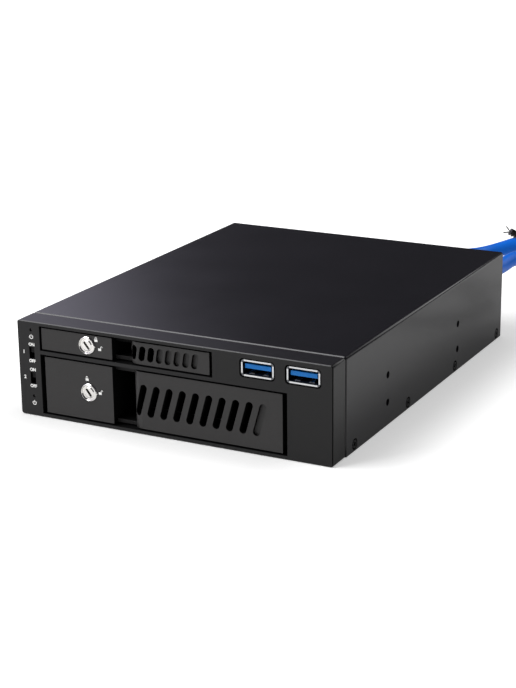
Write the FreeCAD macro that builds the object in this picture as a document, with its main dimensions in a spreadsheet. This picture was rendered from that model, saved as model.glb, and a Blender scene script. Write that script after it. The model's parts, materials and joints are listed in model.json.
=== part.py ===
import FreeCAD, Part
import math
import os

import Sketcher

# Optical-bay drive rack: a half-height 5.25 inch housing with a flat upper tray for a 2.5 inch drive and a
# taller lower tray for a 3.5 inch drive. Lengths are millimetres. X runs to the right seen from the front,
# Z up. Depths are counted back from the front of the bezel; the origin is the middle of the base.

Vector = FreeCAD.Vector
doc = FreeCAD.newDocument("drive_rack")
sheet = doc.addObject("Spreadsheet::Sheet", "Sizes")
nodes = []


# Sizes that carry their sheet expression

class Size:
    """A length or an angle: the expression that reads it from the sheet, with its present value."""

    def __init__(self, text, value):
        self.text = text
        self.value = value

    def __add__(self, other):
        other = as_size(other)
        return Size(f"({self.text} + {other.text})", self.value + other.value)

    def __sub__(self, other):
        other = as_size(other)
        return Size(f"({self.text} - {other.text})", self.value - other.value)

    def __mul__(self, factor):
        return Size(f"({self.text} * {factor})", self.value * factor)

    def __truediv__(self, divisor):
        return Size(f"({self.text} / {divisor})", self.value / divisor)

    def __neg__(self):
        return Size(f"(-1 * {self.text})", -self.value)

    def __radd__(self, other):
        return as_size(other) + self

    def __rsub__(self, other):
        return as_size(other) - self


def as_size(number):
    return number if isinstance(number, Size) else Size(f"({float(number)})", float(number))


def size(alias, value):
    """Add a driving dimension to the sheet."""
    row = size.row
    size.row += 1
    sheet.set(f"A{row}", alias)
    sheet.set(f"B{row}", str(value))
    sheet.setAlias(f"B{row}", alias)
    return Size(f"Sizes.{alias}", value)


size.row = 1


class Bay:
    """The driving dimensions of one bay, each with the bay's name before it in the sheet."""

    def __init__(self, name, **values):
        self.name = name
        for word, value in values.items():
            setattr(self, word, size(f"{name}_{word}", value))


# Housing
rack_width = size("rack_width", 145.0)
rack_height = size("rack_height", 41.3)
rack_depth = size("rack_depth", 190.0)
overall_depth = size("overall_depth", 199.0)
gauge = size("gauge", 1.0)
seam = size("seam", 1.2)
cover_bevel = size("cover_bevel", 0.4)
bend_radius = size("bend_radius", 1.2)

# Bezel
bezel_depth = size("bezel_depth", 11.0)
bezel_face = size("bezel_face", 4.0)
bezel_side = size("bezel_side", 1.1)
bezel_rail = size("bezel_rail", 1.5)
bezel_bevel = size("bezel_bevel", 0.35)
bezel_corner = size("bezel_corner", 1.0)
hook_depth = size("hook_depth", 7.0)
hook_length = size("hook_length", 2.2)
hook_catch = size("hook_catch", 0.7)
hook_low = size("hook_low", 14.0)
hook_high = size("hook_high", 20.0)
hook_play = size("hook_play", 0.4)

# Base pan and side fasteners
flange_top = size("flange_top", 37.0)
tab_front = size("tab_front", 5.0)
tab_low = size("tab_low", 8.0)
tab_high = size("tab_high", 27.0)
rear_tab_width = size("rear_tab_width", 9.0)
rear_tab_low = size("rear_tab_low", 3.0)
rear_tab_high = size("rear_tab_high", 16.5)
mount_front = size("mount_front", 53.0)
mount_pitch = size("mount_pitch", 79.2)
mount_low = size("mount_low", 10.0)
mount_high = size("mount_high", 21.8)
mount_hole = size("mount_hole", 1.5)
screw_first = size("screw_first", 20.4)
screw_pitch = size("screw_pitch", 54.6)
screw_height = size("screw_height", 2.9)
screw_head = size("screw_head", 2.4)
screw_shank = size("screw_shank", 1.4)
screw_reach = size("screw_reach", 4.0)
screw_play = size("screw_play", 0.05)
head_play = size("head_play", 0.65)
side_screws = 4

# Bays: window in the bezel, tray in the window, lever door and lock on the tray
upper = Bay(
    "upper",
    window_left=-61.5, window_right=20.1, window_low=29.1, window_high=39.7,
    left=-60.7, right=18.6, low=29.75, high=38.95,
    panel_right=-26.5, door_left=-19.2, lock_across=-38.6, lock_height=34.3,
    groove_height=34.2, rail_width=4.7, cam_reach=6.1,
    vent_across=-16.35, vent_height=34.35, vent_pitch=4.05, vent_half=1.75, vent_radius=1.4, vent_lean=10.0,
    wall_foot=28.7, wall_head=40.2, screw_lift=3.0, drive_pitch=76.6,
)
lower = Bay(
    "lower",
    window_left=-61.5, window_right=52.95, window_low=1.5, window_high=27.5,
    left=-59.6, right=50.7, low=2.2, high=26.6,
    panel_right=-26.7, door_left=-18.0, lock_across=-38.45, lock_height=14.0,
    groove_height=14.4, rail_width=4.3, cam_reach=13.5,
    vent_across=-13.6, vent_height=14.4, vent_pitch=6.03, vent_half=5.5, vent_radius=1.55, vent_lean=16.0,
    wall_foot=1.0, wall_head=27.9, screw_lift=6.4, drive_pitch=101.6,
)
open_vents = {"upper": 3, "lower": 9}
blind_vents = {"upper": 5, "lower": 1}

# Tray fronts and rails
tray_face = size("tray_face", 0.5)
tray_front_depth = size("tray_front_depth", 20.0)
tray_edge = size("tray_edge", 1.6)
panel_wall = size("panel_wall", 2.5)
block_wall = size("block_wall", 2.0)
door_gap = size("door_gap", 0.4)
tray_back = size("tray_back", 176.0)
rail_plate = size("rail_plate", 1.2)
groove_depth = size("groove_depth", 1.6)
groove_half = size("groove_half", 1.2)
drive_hole = size("drive_hole", 1.7)
drive_hole_front = size("drive_hole_front", 60.0)
past_edge = size("past_edge", 1.0)

# Lever doors
door_plate = size("door_plate", 2.4)
door_roll = size("door_roll", 5.0)
grip_depth = size("grip_depth", 8.0)
grip_wall = size("grip_wall", 2.4)
pivot_inset = size("pivot_inset", 4.5)
pivot_depth = size("pivot_depth", 2.6)
pin_radius = size("pin_radius", 0.75)
pin_play = size("pin_play", 0.05)
lug_radius = size("lug_radius", 1.4)
lug_skin = size("lug_skin", 1.0)
knuckle_radius = size("knuckle_radius", 2.2)
end_play = size("end_play", 0.2)
swing_room = size("swing_room", 6.0)
blind_depth = size("blind_depth", 1.3)
vent_depth = size("vent_depth", 6.0)

# Key locks
lock_radius = size("lock_radius", 3.85)
lock_head = size("lock_head", 1.0)
lock_barrel = size("lock_barrel", 2.9)
lock_bore = size("lock_bore", 2.95)
bush_radius = size("bush_radius", 4.2)
bush_back = size("bush_back", 12.5)
barrel_back = size("barrel_back", 13.6)
tail_radius = size("tail_radius", 1.8)
tail_back = size("tail_back", 16.2)
cam_front = size("cam_front", 14.0)
cam_gauge = size("cam_gauge", 1.4)
cam_half = size("cam_half", 1.8)
cam_hub = size("cam_hub", 3.0)
cam_slot_left = size("cam_slot_left", 9.6)
cam_slot_right = size("cam_slot_right", 3.0)
cam_slot_play = size("cam_slot_play", 0.5)
key_half_width = size("key_half_width", 0.5)
key_half_height = size("key_half_height", 1.9)
key_depth = size("key_depth", 3.0)
key_turn = size("key_turn", 38.0)
rim_inner = size("rim_inner", 3.05)
rim_bevel = size("rim_bevel", 0.35)
dish_depth = size("dish_depth", 0.65)
plug_face = size("plug_face", 2.45)
plug_recess = size("plug_recess", 0.3)
head_seat = size("head_seat", 0.1)
nib_root = size("nib_root", 3.05)
nib_reach = size("nib_reach", 4.5)
nib_half = size("nib_half", 0.7)
nib_gauge = size("nib_gauge", 0.4)

# Inside the housing
shelf_low = size("shelf_low", 27.9)
shelf_gauge = size("shelf_gauge", 0.8)
shelf_left = size("shelf_left", -62.5)
shelf_right = size("shelf_right", 53.4)
guide_gap = size("guide_gap", 0.6)
guide_wall = size("guide_wall", 1.8)
guide_rib = size("guide_rib", 1.5)
rib_half = size("rib_half", 0.9)
rib_front = size("rib_front", 23.0)
rib_lead = size("rib_lead", 4.0)
guide_front = size("guide_front", 11.5)
board_front = size("board_front", 184.4)
board_gauge = size("board_gauge", 1.6)
board_left = size("board_left", -61.0)
board_step = size("board_step", 28.0)
board_right = size("board_right", 50.0)
board_low = size("board_low", 3.0)
board_shoulder = size("board_shoulder", 25.0)
board_high = size("board_high", 39.5)
socket_half_width = size("socket_half_width", 21.0)
socket_half_height = size("socket_half_height", 2.6)
socket_reach = size("socket_reach", 7.6)
socket_slot = size("socket_slot", 1.1)
socket_end = size("socket_end", 3.5)
socket_key = size("socket_key", 5.0)
socket_offset = size("socket_offset", 8.0)
socket_lift = size("socket_lift", 4.9)
standoff_radius = size("standoff_radius", 2.5)

# Rear connectors
port_height = size("port_height", 11.0)
port_half_height = size("port_half_height", 3.1)
data_half_width = size("data_half_width", 8.2)
power_half_width = size("power_half_width", 12.2)
port_wall = size("port_wall", 0.9)
port_depth = size("port_depth", 8.0)
port_clear = size("port_clear", 0.5)
tongue_half = size("tongue_half", 0.6)
blade_inset = size("blade_inset", 1.4)
blade_setback = size("blade_setback", 1.2)
rear_head = size("rear_head", 2.6)
rear_head_rise = size("rear_head_rise", 1.4)

# Indicator and switch strip
strip_across = size("strip_across", -65.6)
upper_lamp_height = size("upper_lamp_height", 37.6)
lower_lamp_height = size("lower_lamp_height", 8.6)
lamp_radius = size("lamp_radius", 0.7)
upper_switch_height = size("upper_switch_height", 27.6)
lower_switch_height = size("lower_switch_height", 16.6)
slot_half_width = size("slot_half_width", 1.3)
slot_half_height = size("slot_half_height", 2.55)
slider_half_width = size("slider_half_width", 1.0)
slider_half_height = size("slider_half_height", 1.2)
slider_rise = size("slider_rise", 1.1)
slider_face = size("slider_face", 0.7)
switch_front = size("switch_front", 4.2)
switch_board_front = size("switch_board_front", 9.4)
switch_half_width = size("switch_half_width", 2.6)
switch_half_height = size("switch_half_height", 4.8)
switch_wall = size("switch_wall", 0.7)
shoe_play = size("shoe_play", 0.2)
shoe_gauge = size("shoe_gauge", 1.6)
shoe_half = size("shoe_half", 2.2)
pipe_play = size("pipe_play", 0.05)
pipe_front = size("pipe_front", 0.6)
strip_left = size("strip_left", 4.4)
strip_right = size("strip_right", 2.7)
strip_below = size("strip_below", 4.0)
strip_above = size("strip_above", 1.8)

# USB ports
usb_height = size("usb_height", 35.2)
usb_left_across = size("usb_left_across", 40.0)
usb_right_across = size("usb_right_across", 59.8)
usb_hole_half_width = size("usb_hole_half_width", 7.75)
usb_hole_half_height = size("usb_hole_half_height", 3.9)
usb_hole_corner = size("usb_hole_corner", 1.6)
lip_half_width = size("lip_half_width", 7.1)
lip_half_height = size("lip_half_height", 3.35)
lip_front = size("lip_front", 0.3)
lip_depth = size("lip_depth", 1.3)
lip_notch = size("lip_notch", 1.15)
lip_wall = size("lip_wall", 0.65)
shell_half_width = size("shell_half_width", 6.6)
shell_half_height = size("shell_half_height", 2.85)
shell_wall = size("shell_wall", 0.35)
shell_back = size("shell_back", 17.0)
tongue_half_width = size("tongue_half_width", 5.75)
tongue_low = size("tongue_low", -0.3)
tongue_high = size("tongue_high", 1.55)
tongue_front = size("tongue_front", 1.0)
insert_front = size("insert_front", 10.5)
insert_play = size("insert_play", 0.02)
shell_corner = size("shell_corner", 0.96)
usb_board_left = size("usb_board_left", 31.0)
usb_board_right = size("usb_board_right", 69.5)
usb_board_front = size("usb_board_front", 4.6)
usb_board_back = size("usb_board_back", 35.0)
usb_board_gauge = size("usb_board_gauge", 1.6)
spacer_left = size("spacer_left", 34.5)
spacer_right = size("spacer_right", 50.0)
spacer_front = size("spacer_front", 22.0)
spacer_back = size("spacer_back", 32.0)
spacer_radius = size("spacer_radius", 2.0)

# Leads
lead_radius = size("lead_radius", 3.6)
left_exit_across = size("left_exit_across", 46.0)
left_exit_height = size("left_exit_height", 32.5)
right_exit_across = size("right_exit_across", 61.0)
right_exit_height = size("right_exit_height", 27.0)
grommet_hole = size("grommet_hole", 4.7)
grommet_flange = size("grommet_flange", 5.6)
grommet_tip = size("grommet_tip", 4.2)
grommet_inside = size("grommet_inside", 1.4)
grommet_outside = size("grommet_outside", 1.6)
lead_overlap = size("lead_overlap", 8.0)
grommet_back = size("grommet_back", 196.5)
tie_width = size("tie_width", 2.4)
tie_gauge = size("tie_gauge", 0.8)
tie_play = size("tie_play", 0.2)
coil_across = size("coil_across", 134.0)
coil_along = size("coil_along", 126.5)
coil_inner = size("coil_inner", 31.0)
coil_outer = size("coil_outer", 46.0)
coil_height = size("coil_height", 14.4)
plug_length = size("plug_length", 26.0)
plug_grip_length = size("plug_grip_length", 10.0)
plug_grip_half = size("plug_grip_half", 10.5)
plug_half = size("plug_half", 13.0)
plug_height = size("plug_height", 10.0)
plug_step = size("plug_step", 0.6)
plug_wall = size("plug_wall", 1.7)
plug_depth = size("plug_depth", 9.0)

doc.recompute()
origin_shift = -overall_depth / 2


# Helpers for bodies, sketches and features

PLANES = {"front": "XZ_Plane", "top": "XY_Plane", "side": "YZ_Plane"}
LEAST_CUT = 1e-6
FULL_TURN = 360.0


def bind(feature, prop, value):
    feature.setExpression(prop, as_size(value).text)


def new_body(label):
    body = doc.addObject("PartDesign::Body", label)
    body.Label = label
    bind(body, "Placement.Base.y", origin_shift)
    nodes.append(body)
    return body


def origin_feature(body, role):
    return next(item for item in body.Origin.OriginFeatures if item.Role == role)


def sketch(body, view, level, across=0.0, up=0.0, turn=0.0):
    """A sketch seen from the front, top or side, on the plane at that depth, height or X."""
    plan = body.newObject("Sketcher::SketchObject", f"{body.Label}_{view}")
    plan.AttachmentSupport = [(origin_feature(body, PLANES[view]), "")]
    plan.MapMode = "FlatFace"
    level = -as_size(level) if view == "front" else as_size(level)
    across, up, turn = as_size(across), as_size(up), as_size(turn)
    spin = FreeCAD.Rotation(Vector(0, 0, 1), turn.value)
    plan.AttachmentOffset = FreeCAD.Placement(Vector(across.value, up.value, level.value), spin)
    bind(plan, "AttachmentOffset.Base.x", across)
    bind(plan, "AttachmentOffset.Base.y", up)
    bind(plan, "AttachmentOffset.Base.z", level)
    if turn.value:
        bind(plan, "AttachmentOffset.Rotation.Angle", turn)
    return plan


def hold(plan, kind, *where):
    """Add a dimension whose last value is a Size, bound to the sheet."""
    *points, value = where
    value = as_size(value)
    index = plan.addConstraint(Sketcher.Constraint(kind, *points, value.value))
    plan.setExpression(f"Constraints[{index}]", value.text)


def outline(plan, corners):
    """A closed outline of straight lines through corners, each corner held by the sheet."""
    corners = [(as_size(x), as_size(y)) for x, y in corners]
    points = [Vector(x.value, y.value, 0) for x, y in corners]
    first = plan.GeometryCount
    count = len(points)
    for index, point in enumerate(points):
        plan.addGeometry(Part.LineSegment(point, points[(index + 1) % count]))
    for index in range(count):
        following = first + (index + 1) % count
        plan.addConstraint(Sketcher.Constraint("Coincident", first + index, 2, following, 1))
    for index, (x, y) in enumerate(corners):
        hold(plan, "DistanceX", -1, 1, first + index, 1, x)
        hold(plan, "DistanceY", -1, 1, first + index, 1, y)


def box_outline(plan, left, right, low, high):
    outline(plan, [(left, low), (right, low), (right, high), (left, high)])


def hole_outline(plan, across, up, radius):
    across, up, radius = as_size(across), as_size(up), as_size(radius)
    centre = Vector(across.value, up.value, 0)
    index = plan.addGeometry(Part.Circle(centre, Vector(0, 0, 1), radius.value))
    hold(plan, "Radius", index, radius)
    hold(plan, "DistanceX", -1, 1, index, 3, across)
    hold(plan, "DistanceY", -1, 1, index, 3, up)


def slot_outline(plan, half, radius):
    """An upright slot with round ends about the sketch's origin."""
    reach, bend = half.value, radius.value
    normal = Vector(0, 0, 1)
    head = plan.addGeometry(Part.ArcOfCircle(Part.Circle(Vector(0, reach, 0), normal, bend), 0, math.pi))
    left = plan.addGeometry(Part.LineSegment(Vector(-bend, reach, 0), Vector(-bend, -reach, 0)))
    foot_circle = Part.Circle(Vector(0, -reach, 0), normal, bend)
    foot = plan.addGeometry(Part.ArcOfCircle(foot_circle, math.pi, 2 * math.pi))
    right = plan.addGeometry(Part.LineSegment(Vector(bend, -reach, 0), Vector(bend, reach, 0)))
    for one, other in ((head, left), (left, foot), (foot, right), (right, head)):
        plan.addConstraint(Sketcher.Constraint("Tangent", one, 2, other, 1))
    plan.addConstraint(Sketcher.Constraint("Vertical", left))
    plan.addConstraint(Sketcher.Constraint("PointOnObject", head, 3, -2))
    plan.addConstraint(Sketcher.Constraint("PointOnObject", foot, 3, -2))
    hold(plan, "Radius", head, radius)
    hold(plan, "DistanceY", -1, 1, head, 3, half)
    hold(plan, "DistanceY", foot, 3, -1, 1, half)


def pad(body, plan, length, reverse=False):
    """Pads run back from a front sketch, up from a top one, to +X from a side one; reverse turns them."""
    feature = body.newObject("PartDesign::Pad", f"{body.Label}_pad")
    feature.Profile = plan
    bind(feature, "Length", length)
    from_front = plan.AttachmentSupport[0][0].Role == PLANES["front"]
    feature.Reversed = from_front != reverse
    return feature


def pocket(body, plan, length, reverse=False):
    """Pockets run the same ways as pads do, and have to take material away."""
    doc.recompute()
    before = body.Shape.Volume
    feature = body.newObject("PartDesign::Pocket", f"{body.Label}_pocket")
    feature.Profile = plan
    bind(feature, "Length", length)
    from_front = plan.AttachmentSupport[0][0].Role == PLANES["front"]
    feature.Reversed = from_front == reverse
    doc.recompute()
    if not body.Shape.Volume < before - LEAST_CUT:
        raise RuntimeError(f"{feature.Label} takes nothing away")
    return feature


def row_of(body, features, axis, pitch, count, reverse=False):
    pattern = body.newObject("PartDesign::LinearPattern", f"{body.Label}_row")
    pattern.Originals = features
    pattern.Direction = (origin_feature(body, axis), [""])
    pattern.Reversed = reverse
    pattern.Occurrences = count
    bind(pattern, "Length", pitch * (count - 1))
    body.Tip = pattern
    return pattern


def mirrored(body, features, plane="YZ_Plane"):
    mirror = body.newObject("PartDesign::Mirrored", f"{body.Label}_mirror")
    mirror.Originals = features
    mirror.MirrorPlane = (origin_feature(body, plane), [""])
    body.Tip = mirror
    return mirror


def dress(body, kind, amount, chosen):
    """Round or bevel every edge of the body so far that the test chooses, by its middle and direction."""
    doc.recompute()
    base = body.Tip
    names = []
    for index, edge in enumerate(base.Shape.Edges):
        box = edge.BoundBox
        if chosen(box.Center, box):
            names.append(f"Edge{index + 1}")
    feature = body.newObject(f"PartDesign::{kind}", f"{body.Label}_{kind.lower()}")
    feature.Base = (base, names)
    bind(feature, "Radius" if kind == "Fillet" else "Size", amount)
    return feature


SLACK = 0.01


def near(value, wanted, slack=SLACK):
    return abs(value - as_size(wanted).value) < slack


def turned(body, view_line, profile):
    """A full turn of an outline drawn in the top view about a line along Y through view_line."""
    across, height = view_line
    plan = sketch(body, "top", height, across=across)
    outline(plan, profile)
    feature = body.newObject("PartDesign::Revolution", f"{body.Label}_turn")
    feature.Profile = plan
    feature.ReferenceAxis = (plan, ["V_Axis"])
    feature.Angle = FULL_TURN
    return feature


def place(item, across, along, up):
    bind(item, "Placement.Base.x", across)
    bind(item, "Placement.Base.y", origin_shift + along)
    bind(item, "Placement.Base.z", up)


def block(label, left, right, front, back, low, high):
    item = doc.addObject("Part::Box", label)
    item.Label = label
    bind(item, "Length", as_size(right) - left)
    bind(item, "Width", as_size(back) - front)
    bind(item, "Height", as_size(high) - low)
    place(item, left, front, low)
    return item


def rod(label, across, up, radius, front, back):
    """A round bar along Y."""
    item = doc.addObject("Part::Cylinder", label)
    item.Label = label
    item.Placement.Rotation = FreeCAD.Rotation(Vector(1, 0, 0), -90)
    bind(item, "Radius", radius)
    bind(item, "Height", as_size(back) - front)
    place(item, across, front, up)
    return item


def post(label, across, along, radius, low, high):
    """A round bar along Z."""
    item = doc.addObject("Part::Cylinder", label)
    item.Label = label
    bind(item, "Radius", radius)
    bind(item, "Height", as_size(high) - low)
    place(item, across, along, low)
    return item


def hex_bar(label, across, along, up, radius, length, upright=False):
    """A hexagon bar of this corner radius, back along Y or upright along Z."""
    item = doc.addObject("Part::Prism", label)
    item.Label = label
    item.Polygon = 6
    if not upright:
        item.Placement.Rotation = FreeCAD.Rotation(Vector(1, 0, 0), -90)
    bind(item, "Circumradius", radius)
    bind(item, "Height", length)
    place(item, across, along, up)
    return item


def subtract(label, base, tools):
    tool = tools[0]
    if len(tools) > 1:
        tool = doc.addObject("Part::MultiFuse", f"{label}_tools")
        tool.Shapes = tools
    result = doc.addObject("Part::Cut", label)
    result.Label = label
    result.Base = base
    result.Tool = tool
    return result


def unite(label, items):
    result = doc.addObject("Part::MultiFuse", label)
    result.Label = label
    result.Shapes = items
    return result


def group(label, items):
    result = doc.addObject("Part::Compound", label)
    result.Label = label
    result.Links = items
    return result


def keep(item):
    nodes.append(item)
    return item


half_width = rack_width / 2
flange_outer = half_width - bezel_side
flange_inner = flange_outer - gauge


# Front bezel: a moulded face with a shallow skirt, two tray windows and the small openings

def front_bezel():
    body = new_body("front_bezel")
    plan = sketch(body, "front", 0.0)
    box_outline(plan, -half_width, half_width, 0.0, rack_height)
    pad(body, plan, bezel_depth)
    along_y = lambda box: box.YLength > bezel_depth.value - SLACK
    dress(body, "Fillet", bezel_corner, lambda mid, box: along_y(box) and near(mid.z, 0.0))
    dress(body, "Fillet", bend_radius, lambda mid, box: along_y(box) and near(mid.z, rack_height))
    dress(body, "Chamfer", bezel_bevel, lambda mid, box: near(mid.y, 0.0) and box.YLength < SLACK)

    plan = sketch(body, "front", bezel_depth)
    box_outline(plan, -flange_outer, flange_outer, bezel_rail, rack_height - bezel_rail)
    pocket(body, plan, bezel_depth - bezel_face, reverse=True)

    plan = sketch(body, "front", 0.0)
    for bay in (upper, lower):
        box_outline(plan, bay.window_left, bay.window_right, bay.window_low, bay.window_high)
    pocket(body, plan, bezel_face)

    plan = sketch(body, "front", 0.0)
    for height in (upper_switch_height, lower_switch_height):
        box_outline(
            plan, strip_across - slot_half_width, strip_across + slot_half_width,
            height - slot_half_height, height + slot_half_height,
        )
    for height in (upper_lamp_height, lower_lamp_height):
        hole_outline(plan, strip_across, height, lamp_radius)
    for across in (usb_left_across, usb_right_across):
        box_outline(
            plan, across - usb_hole_half_width, across + usb_hole_half_width,
            usb_height - usb_hole_half_height, usb_height + usb_hole_half_height,
        )
    pocket(body, plan, bezel_face)

    def usb_corner(mid, box):
        inside = near(abs(mid.z - usb_height.value), usb_hole_half_height)
        return inside and near(box.YLength, bezel_face) and box.XLength < SLACK

    dress(body, "Fillet", usb_hole_corner, usb_corner)

    plan = sketch(body, "top", hook_low)
    inner = flange_outer
    outline(plan, [(inner, hook_depth), (inner, hook_depth + hook_length),
                   (inner - hook_catch, hook_depth + hook_length)])
    hook = pad(body, plan, hook_high - hook_low)
    mirrored(body, [hook])


# Top cover: one folded sheet, open below, with the mount holes and the countersinks in its sides

def side_holes(body, level):
    """The standard pattern of mount holes and the row of screw holes, through both sides at once."""
    plan = sketch(body, "side", level)
    for along in (mount_front, mount_front + mount_pitch):
        for height in (mount_low, mount_high):
            hole_outline(plan, along, height, mount_hole)
    pocket(body, plan, rack_width, reverse=True)
    plan = sketch(body, "side", level)
    hole_outline(plan, screw_first, screw_height, mount_hole)
    hole = pocket(body, plan, rack_width, reverse=True)
    row_of(body, [hole], "Y_Axis", screw_pitch, side_screws)


def top_cover():
    body = new_body("top_cover")
    inner = half_width - gauge
    under = rack_height - gauge
    front = bezel_depth + seam
    plan = sketch(body, "front", front)
    outline(plan, [
        (-half_width, 0.0), (-half_width, rack_height), (half_width, rack_height), (half_width, 0.0),
        (inner, 0.0), (inner, under), (-inner, under), (-inner, 0.0),
    ])
    pad(body, plan, rack_depth - front)
    fold = lambda mid, box: near(mid.z, rack_height) and near(abs(mid.x), half_width)
    dress(body, "Fillet", bend_radius, fold)
    fold_middle = bend_radius / 2

    def front_rim(mid, box):
        flat = near(mid.z, rack_height) or near(abs(mid.x), half_width)
        folded = near(mid.z, rack_height - fold_middle) and near(abs(mid.x), half_width - fold_middle)
        return near(mid.y, front) and box.YLength < SLACK and (flat or folded)

    dress(body, "Chamfer", cover_bevel, front_rim)
    side_holes(body, half_width)
    on_skin = lambda mid, box: near(abs(mid.x), half_width) and box.XLength < SLACK
    screw_rim = lambda mid, box: near(mid.z, screw_height) and near(box.ZLength, mount_hole * 2)
    countersunk = lambda mid, box: on_skin(mid, box) and screw_rim(mid, box)
    dress(body, "Chamfer", screw_head - mount_hole, countersunk)


def cover_screws():
    """Countersunk screws, flush with both sides, each in a clear ring of its countersink."""
    body = new_body("cover_screws")
    head = screw_head - head_play
    shank = screw_shank - screw_play
    turns = []
    for side in (1.0, -1.0):
        skin = half_width * side
        neck = (half_width - (head - shank)) * side
        tip = (half_width - screw_reach) * side
        plan = sketch(body, "front", screw_first, up=screw_height)
        outline(plan, [(skin, 0.0), (skin, head), (neck, shank), (tip, shank), (tip, 0.0)])
        turn = body.newObject("PartDesign::Revolution", "cover_screw_turn")
        turn.Profile = plan
        turn.ReferenceAxis = (plan, ["H_Axis"])
        turn.Angle = FULL_TURN
        turns.append(turn)
    doc.recompute()
    row_of(body, turns, "Y_Axis", screw_pitch, side_screws)


# Base pan: floor, side flanges, front tabs that the bezel clips to, rear tabs for the rear panel

def base_pan():
    body = new_body("base_pan")
    front = bezel_depth + seam
    back = rack_depth - gauge
    plan = sketch(body, "front", front)
    outline(plan, [
        (-flange_outer, 0.0), (flange_outer, 0.0), (flange_outer, flange_top), (flange_inner, flange_top),
        (flange_inner, gauge), (-flange_inner, gauge), (-flange_inner, flange_top),
        (-flange_outer, flange_top),
    ])
    pad(body, plan, back - front)
    plan = sketch(body, "front", tab_front)
    box_outline(plan, flange_inner, flange_outer, tab_low, tab_high)
    box_outline(plan, -flange_outer, -flange_inner, tab_low, tab_high)
    pad(body, plan, front - tab_front)
    plan = sketch(body, "front", back - gauge)
    box_outline(plan, flange_inner - rear_tab_width, flange_inner, rear_tab_low, rear_tab_high)
    box_outline(plan, -flange_inner, -flange_inner + rear_tab_width, rear_tab_low, rear_tab_high)
    pad(body, plan, gauge)
    side_holes(body, flange_outer)

    plan = sketch(body, "side", flange_outer)
    box_outline(plan, hook_depth - hook_play, hook_depth + hook_length + hook_play,
                hook_low - hook_play, hook_high + hook_play)
    pocket(body, plan, rack_width, reverse=True)
    cam_slot(body, lower, gauge, gauge)


def cam_slot(body, bay, top, depth):
    """The slot that a lock's cam drops through when the key is turned."""
    plan = sketch(body, "top", top)
    box_outline(
        plan, bay.lock_across - cam_slot_left, bay.lock_across + cam_slot_right,
        cam_front - cam_slot_play, cam_front + cam_gauge + cam_slot_play,
    )
    pocket(body, plan, depth, reverse=True)


# Rear panel with connector cut-outs, lead holes and exhaust slots

DATA_PORTS = {
    "upper_data_port": size("upper_port_across", -46.0),
    "lower_data_port": size("lower_port_across", -22.0),
}
power_across = size("power_across", 8.0)
exhaust_across = size("exhaust_across", -54.0)
exhaust_height = size("exhaust_height", 31.5)
exhaust_pitch = size("exhaust_pitch", 7.0)
exhaust_half = size("exhaust_half", 3.0)
exhaust_radius = size("exhaust_radius", 1.5)
exhaust_count = 11
rear_screw_across = size("rear_screw_across", 66.0)
rear_screw_low = size("rear_screw_low", 7.0)
rear_screw_high = size("rear_screw_high", 13.5)
standoff_left = size("standoff_left", -57.0)
standoff_right = size("standoff_right", 24.0)
standoff_low = size("standoff_low", 20.5)
standoff_high = size("standoff_high", 37.0)


def rear_panel():
    body = new_body("rear_panel")
    plan = sketch(body, "front", rack_depth - gauge)
    box_outline(plan, -flange_outer, flange_outer, 0.0, rack_height - gauge)
    pad(body, plan, gauge)
    plan = sketch(body, "front", rack_depth - gauge)
    for across in DATA_PORTS.values():
        reach = data_half_width + port_clear
        box_outline(plan, across - reach, across + reach,
                    port_height - port_half_height - port_clear, port_height + port_half_height + port_clear)
    reach = power_half_width + port_clear
    box_outline(plan, power_across - reach, power_across + reach,
                port_height - port_half_height - port_clear, port_height + port_half_height + port_clear)
    hole_outline(plan, left_exit_across, left_exit_height, grommet_hole)
    hole_outline(plan, right_exit_across, right_exit_height, grommet_hole)
    pocket(body, plan, gauge)
    plan = sketch(body, "front", rack_depth - gauge, across=exhaust_across, up=exhaust_height)
    slot_outline(plan, exhaust_half, exhaust_radius)
    slot = pocket(body, plan, gauge)
    row_of(body, [slot], "X_Axis", exhaust_pitch, exhaust_count)


def rear_screws():
    """Pan-head screws that hold the rear panel and, through the standoffs, the backplane."""
    places = [(side, height) for side in (-rear_screw_across, rear_screw_across)
              for height in (rear_screw_low, rear_screw_high)]
    places += [(side, standoff_low) for side in (standoff_left, standoff_right)]
    heads = [rod(f"rear_screw_{index}", across, height, rear_head, rack_depth, rack_depth + rear_head_rise)
             for index, (across, height) in enumerate(places)]
    keep(group("rear_screws", heads))


def board_standoffs():
    front = board_front + board_gauge
    posts = [hex_bar(f"standoff_{index}", across, front, standoff_low, standoff_radius,
                     rack_depth - gauge - front)
             for index, across in enumerate((standoff_left, standoff_right))]
    keep(group("board_standoffs", posts))


# Shelf between the bays, and the four guides that the trays run on

def mid_shelf():
    body = new_body("mid_shelf")
    plan = sketch(body, "front", bezel_face + seam)
    box_outline(plan, shelf_left, shelf_right, shelf_low, shelf_low + shelf_gauge)
    pad(body, plan, board_front - bezel_face - seam)
    cam_slot(body, upper, shelf_low + shelf_gauge, shelf_gauge)


def tray_guide(bay, side):
    """A wall beside the tray with a rib that runs in the tray rail's groove."""
    body = new_body(f"{bay.name}_guide_{side}")
    out = 1.0 if side == "right" else -1.0
    face = (bay.right if side == "right" else bay.left) + guide_gap * out
    plan = sketch(body, "front", guide_front)
    box_outline(plan, face, face + guide_wall * out, bay.wall_foot, bay.wall_head)
    pad(body, plan, board_front - guide_front)
    plan = sketch(body, "top", bay.groove_height - rib_half)
    tip = face - guide_rib * out
    outline(plan, [(face, rib_front), (tip, rib_front + rib_lead), (tip, tray_back), (face, tray_back)])
    pad(body, plan, rib_half * 2)


# Backplane with a drive socket for each bay, and the connectors on its back

def backplane_board():
    body = new_body("backplane_board")
    plan = sketch(body, "front", board_front)
    outline(plan, [
        (board_left, board_low), (board_right, board_low), (board_right, board_shoulder),
        (board_step, board_shoulder), (board_step, board_high), (board_left, board_high),
    ])
    pad(body, plan, board_gauge)


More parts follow.
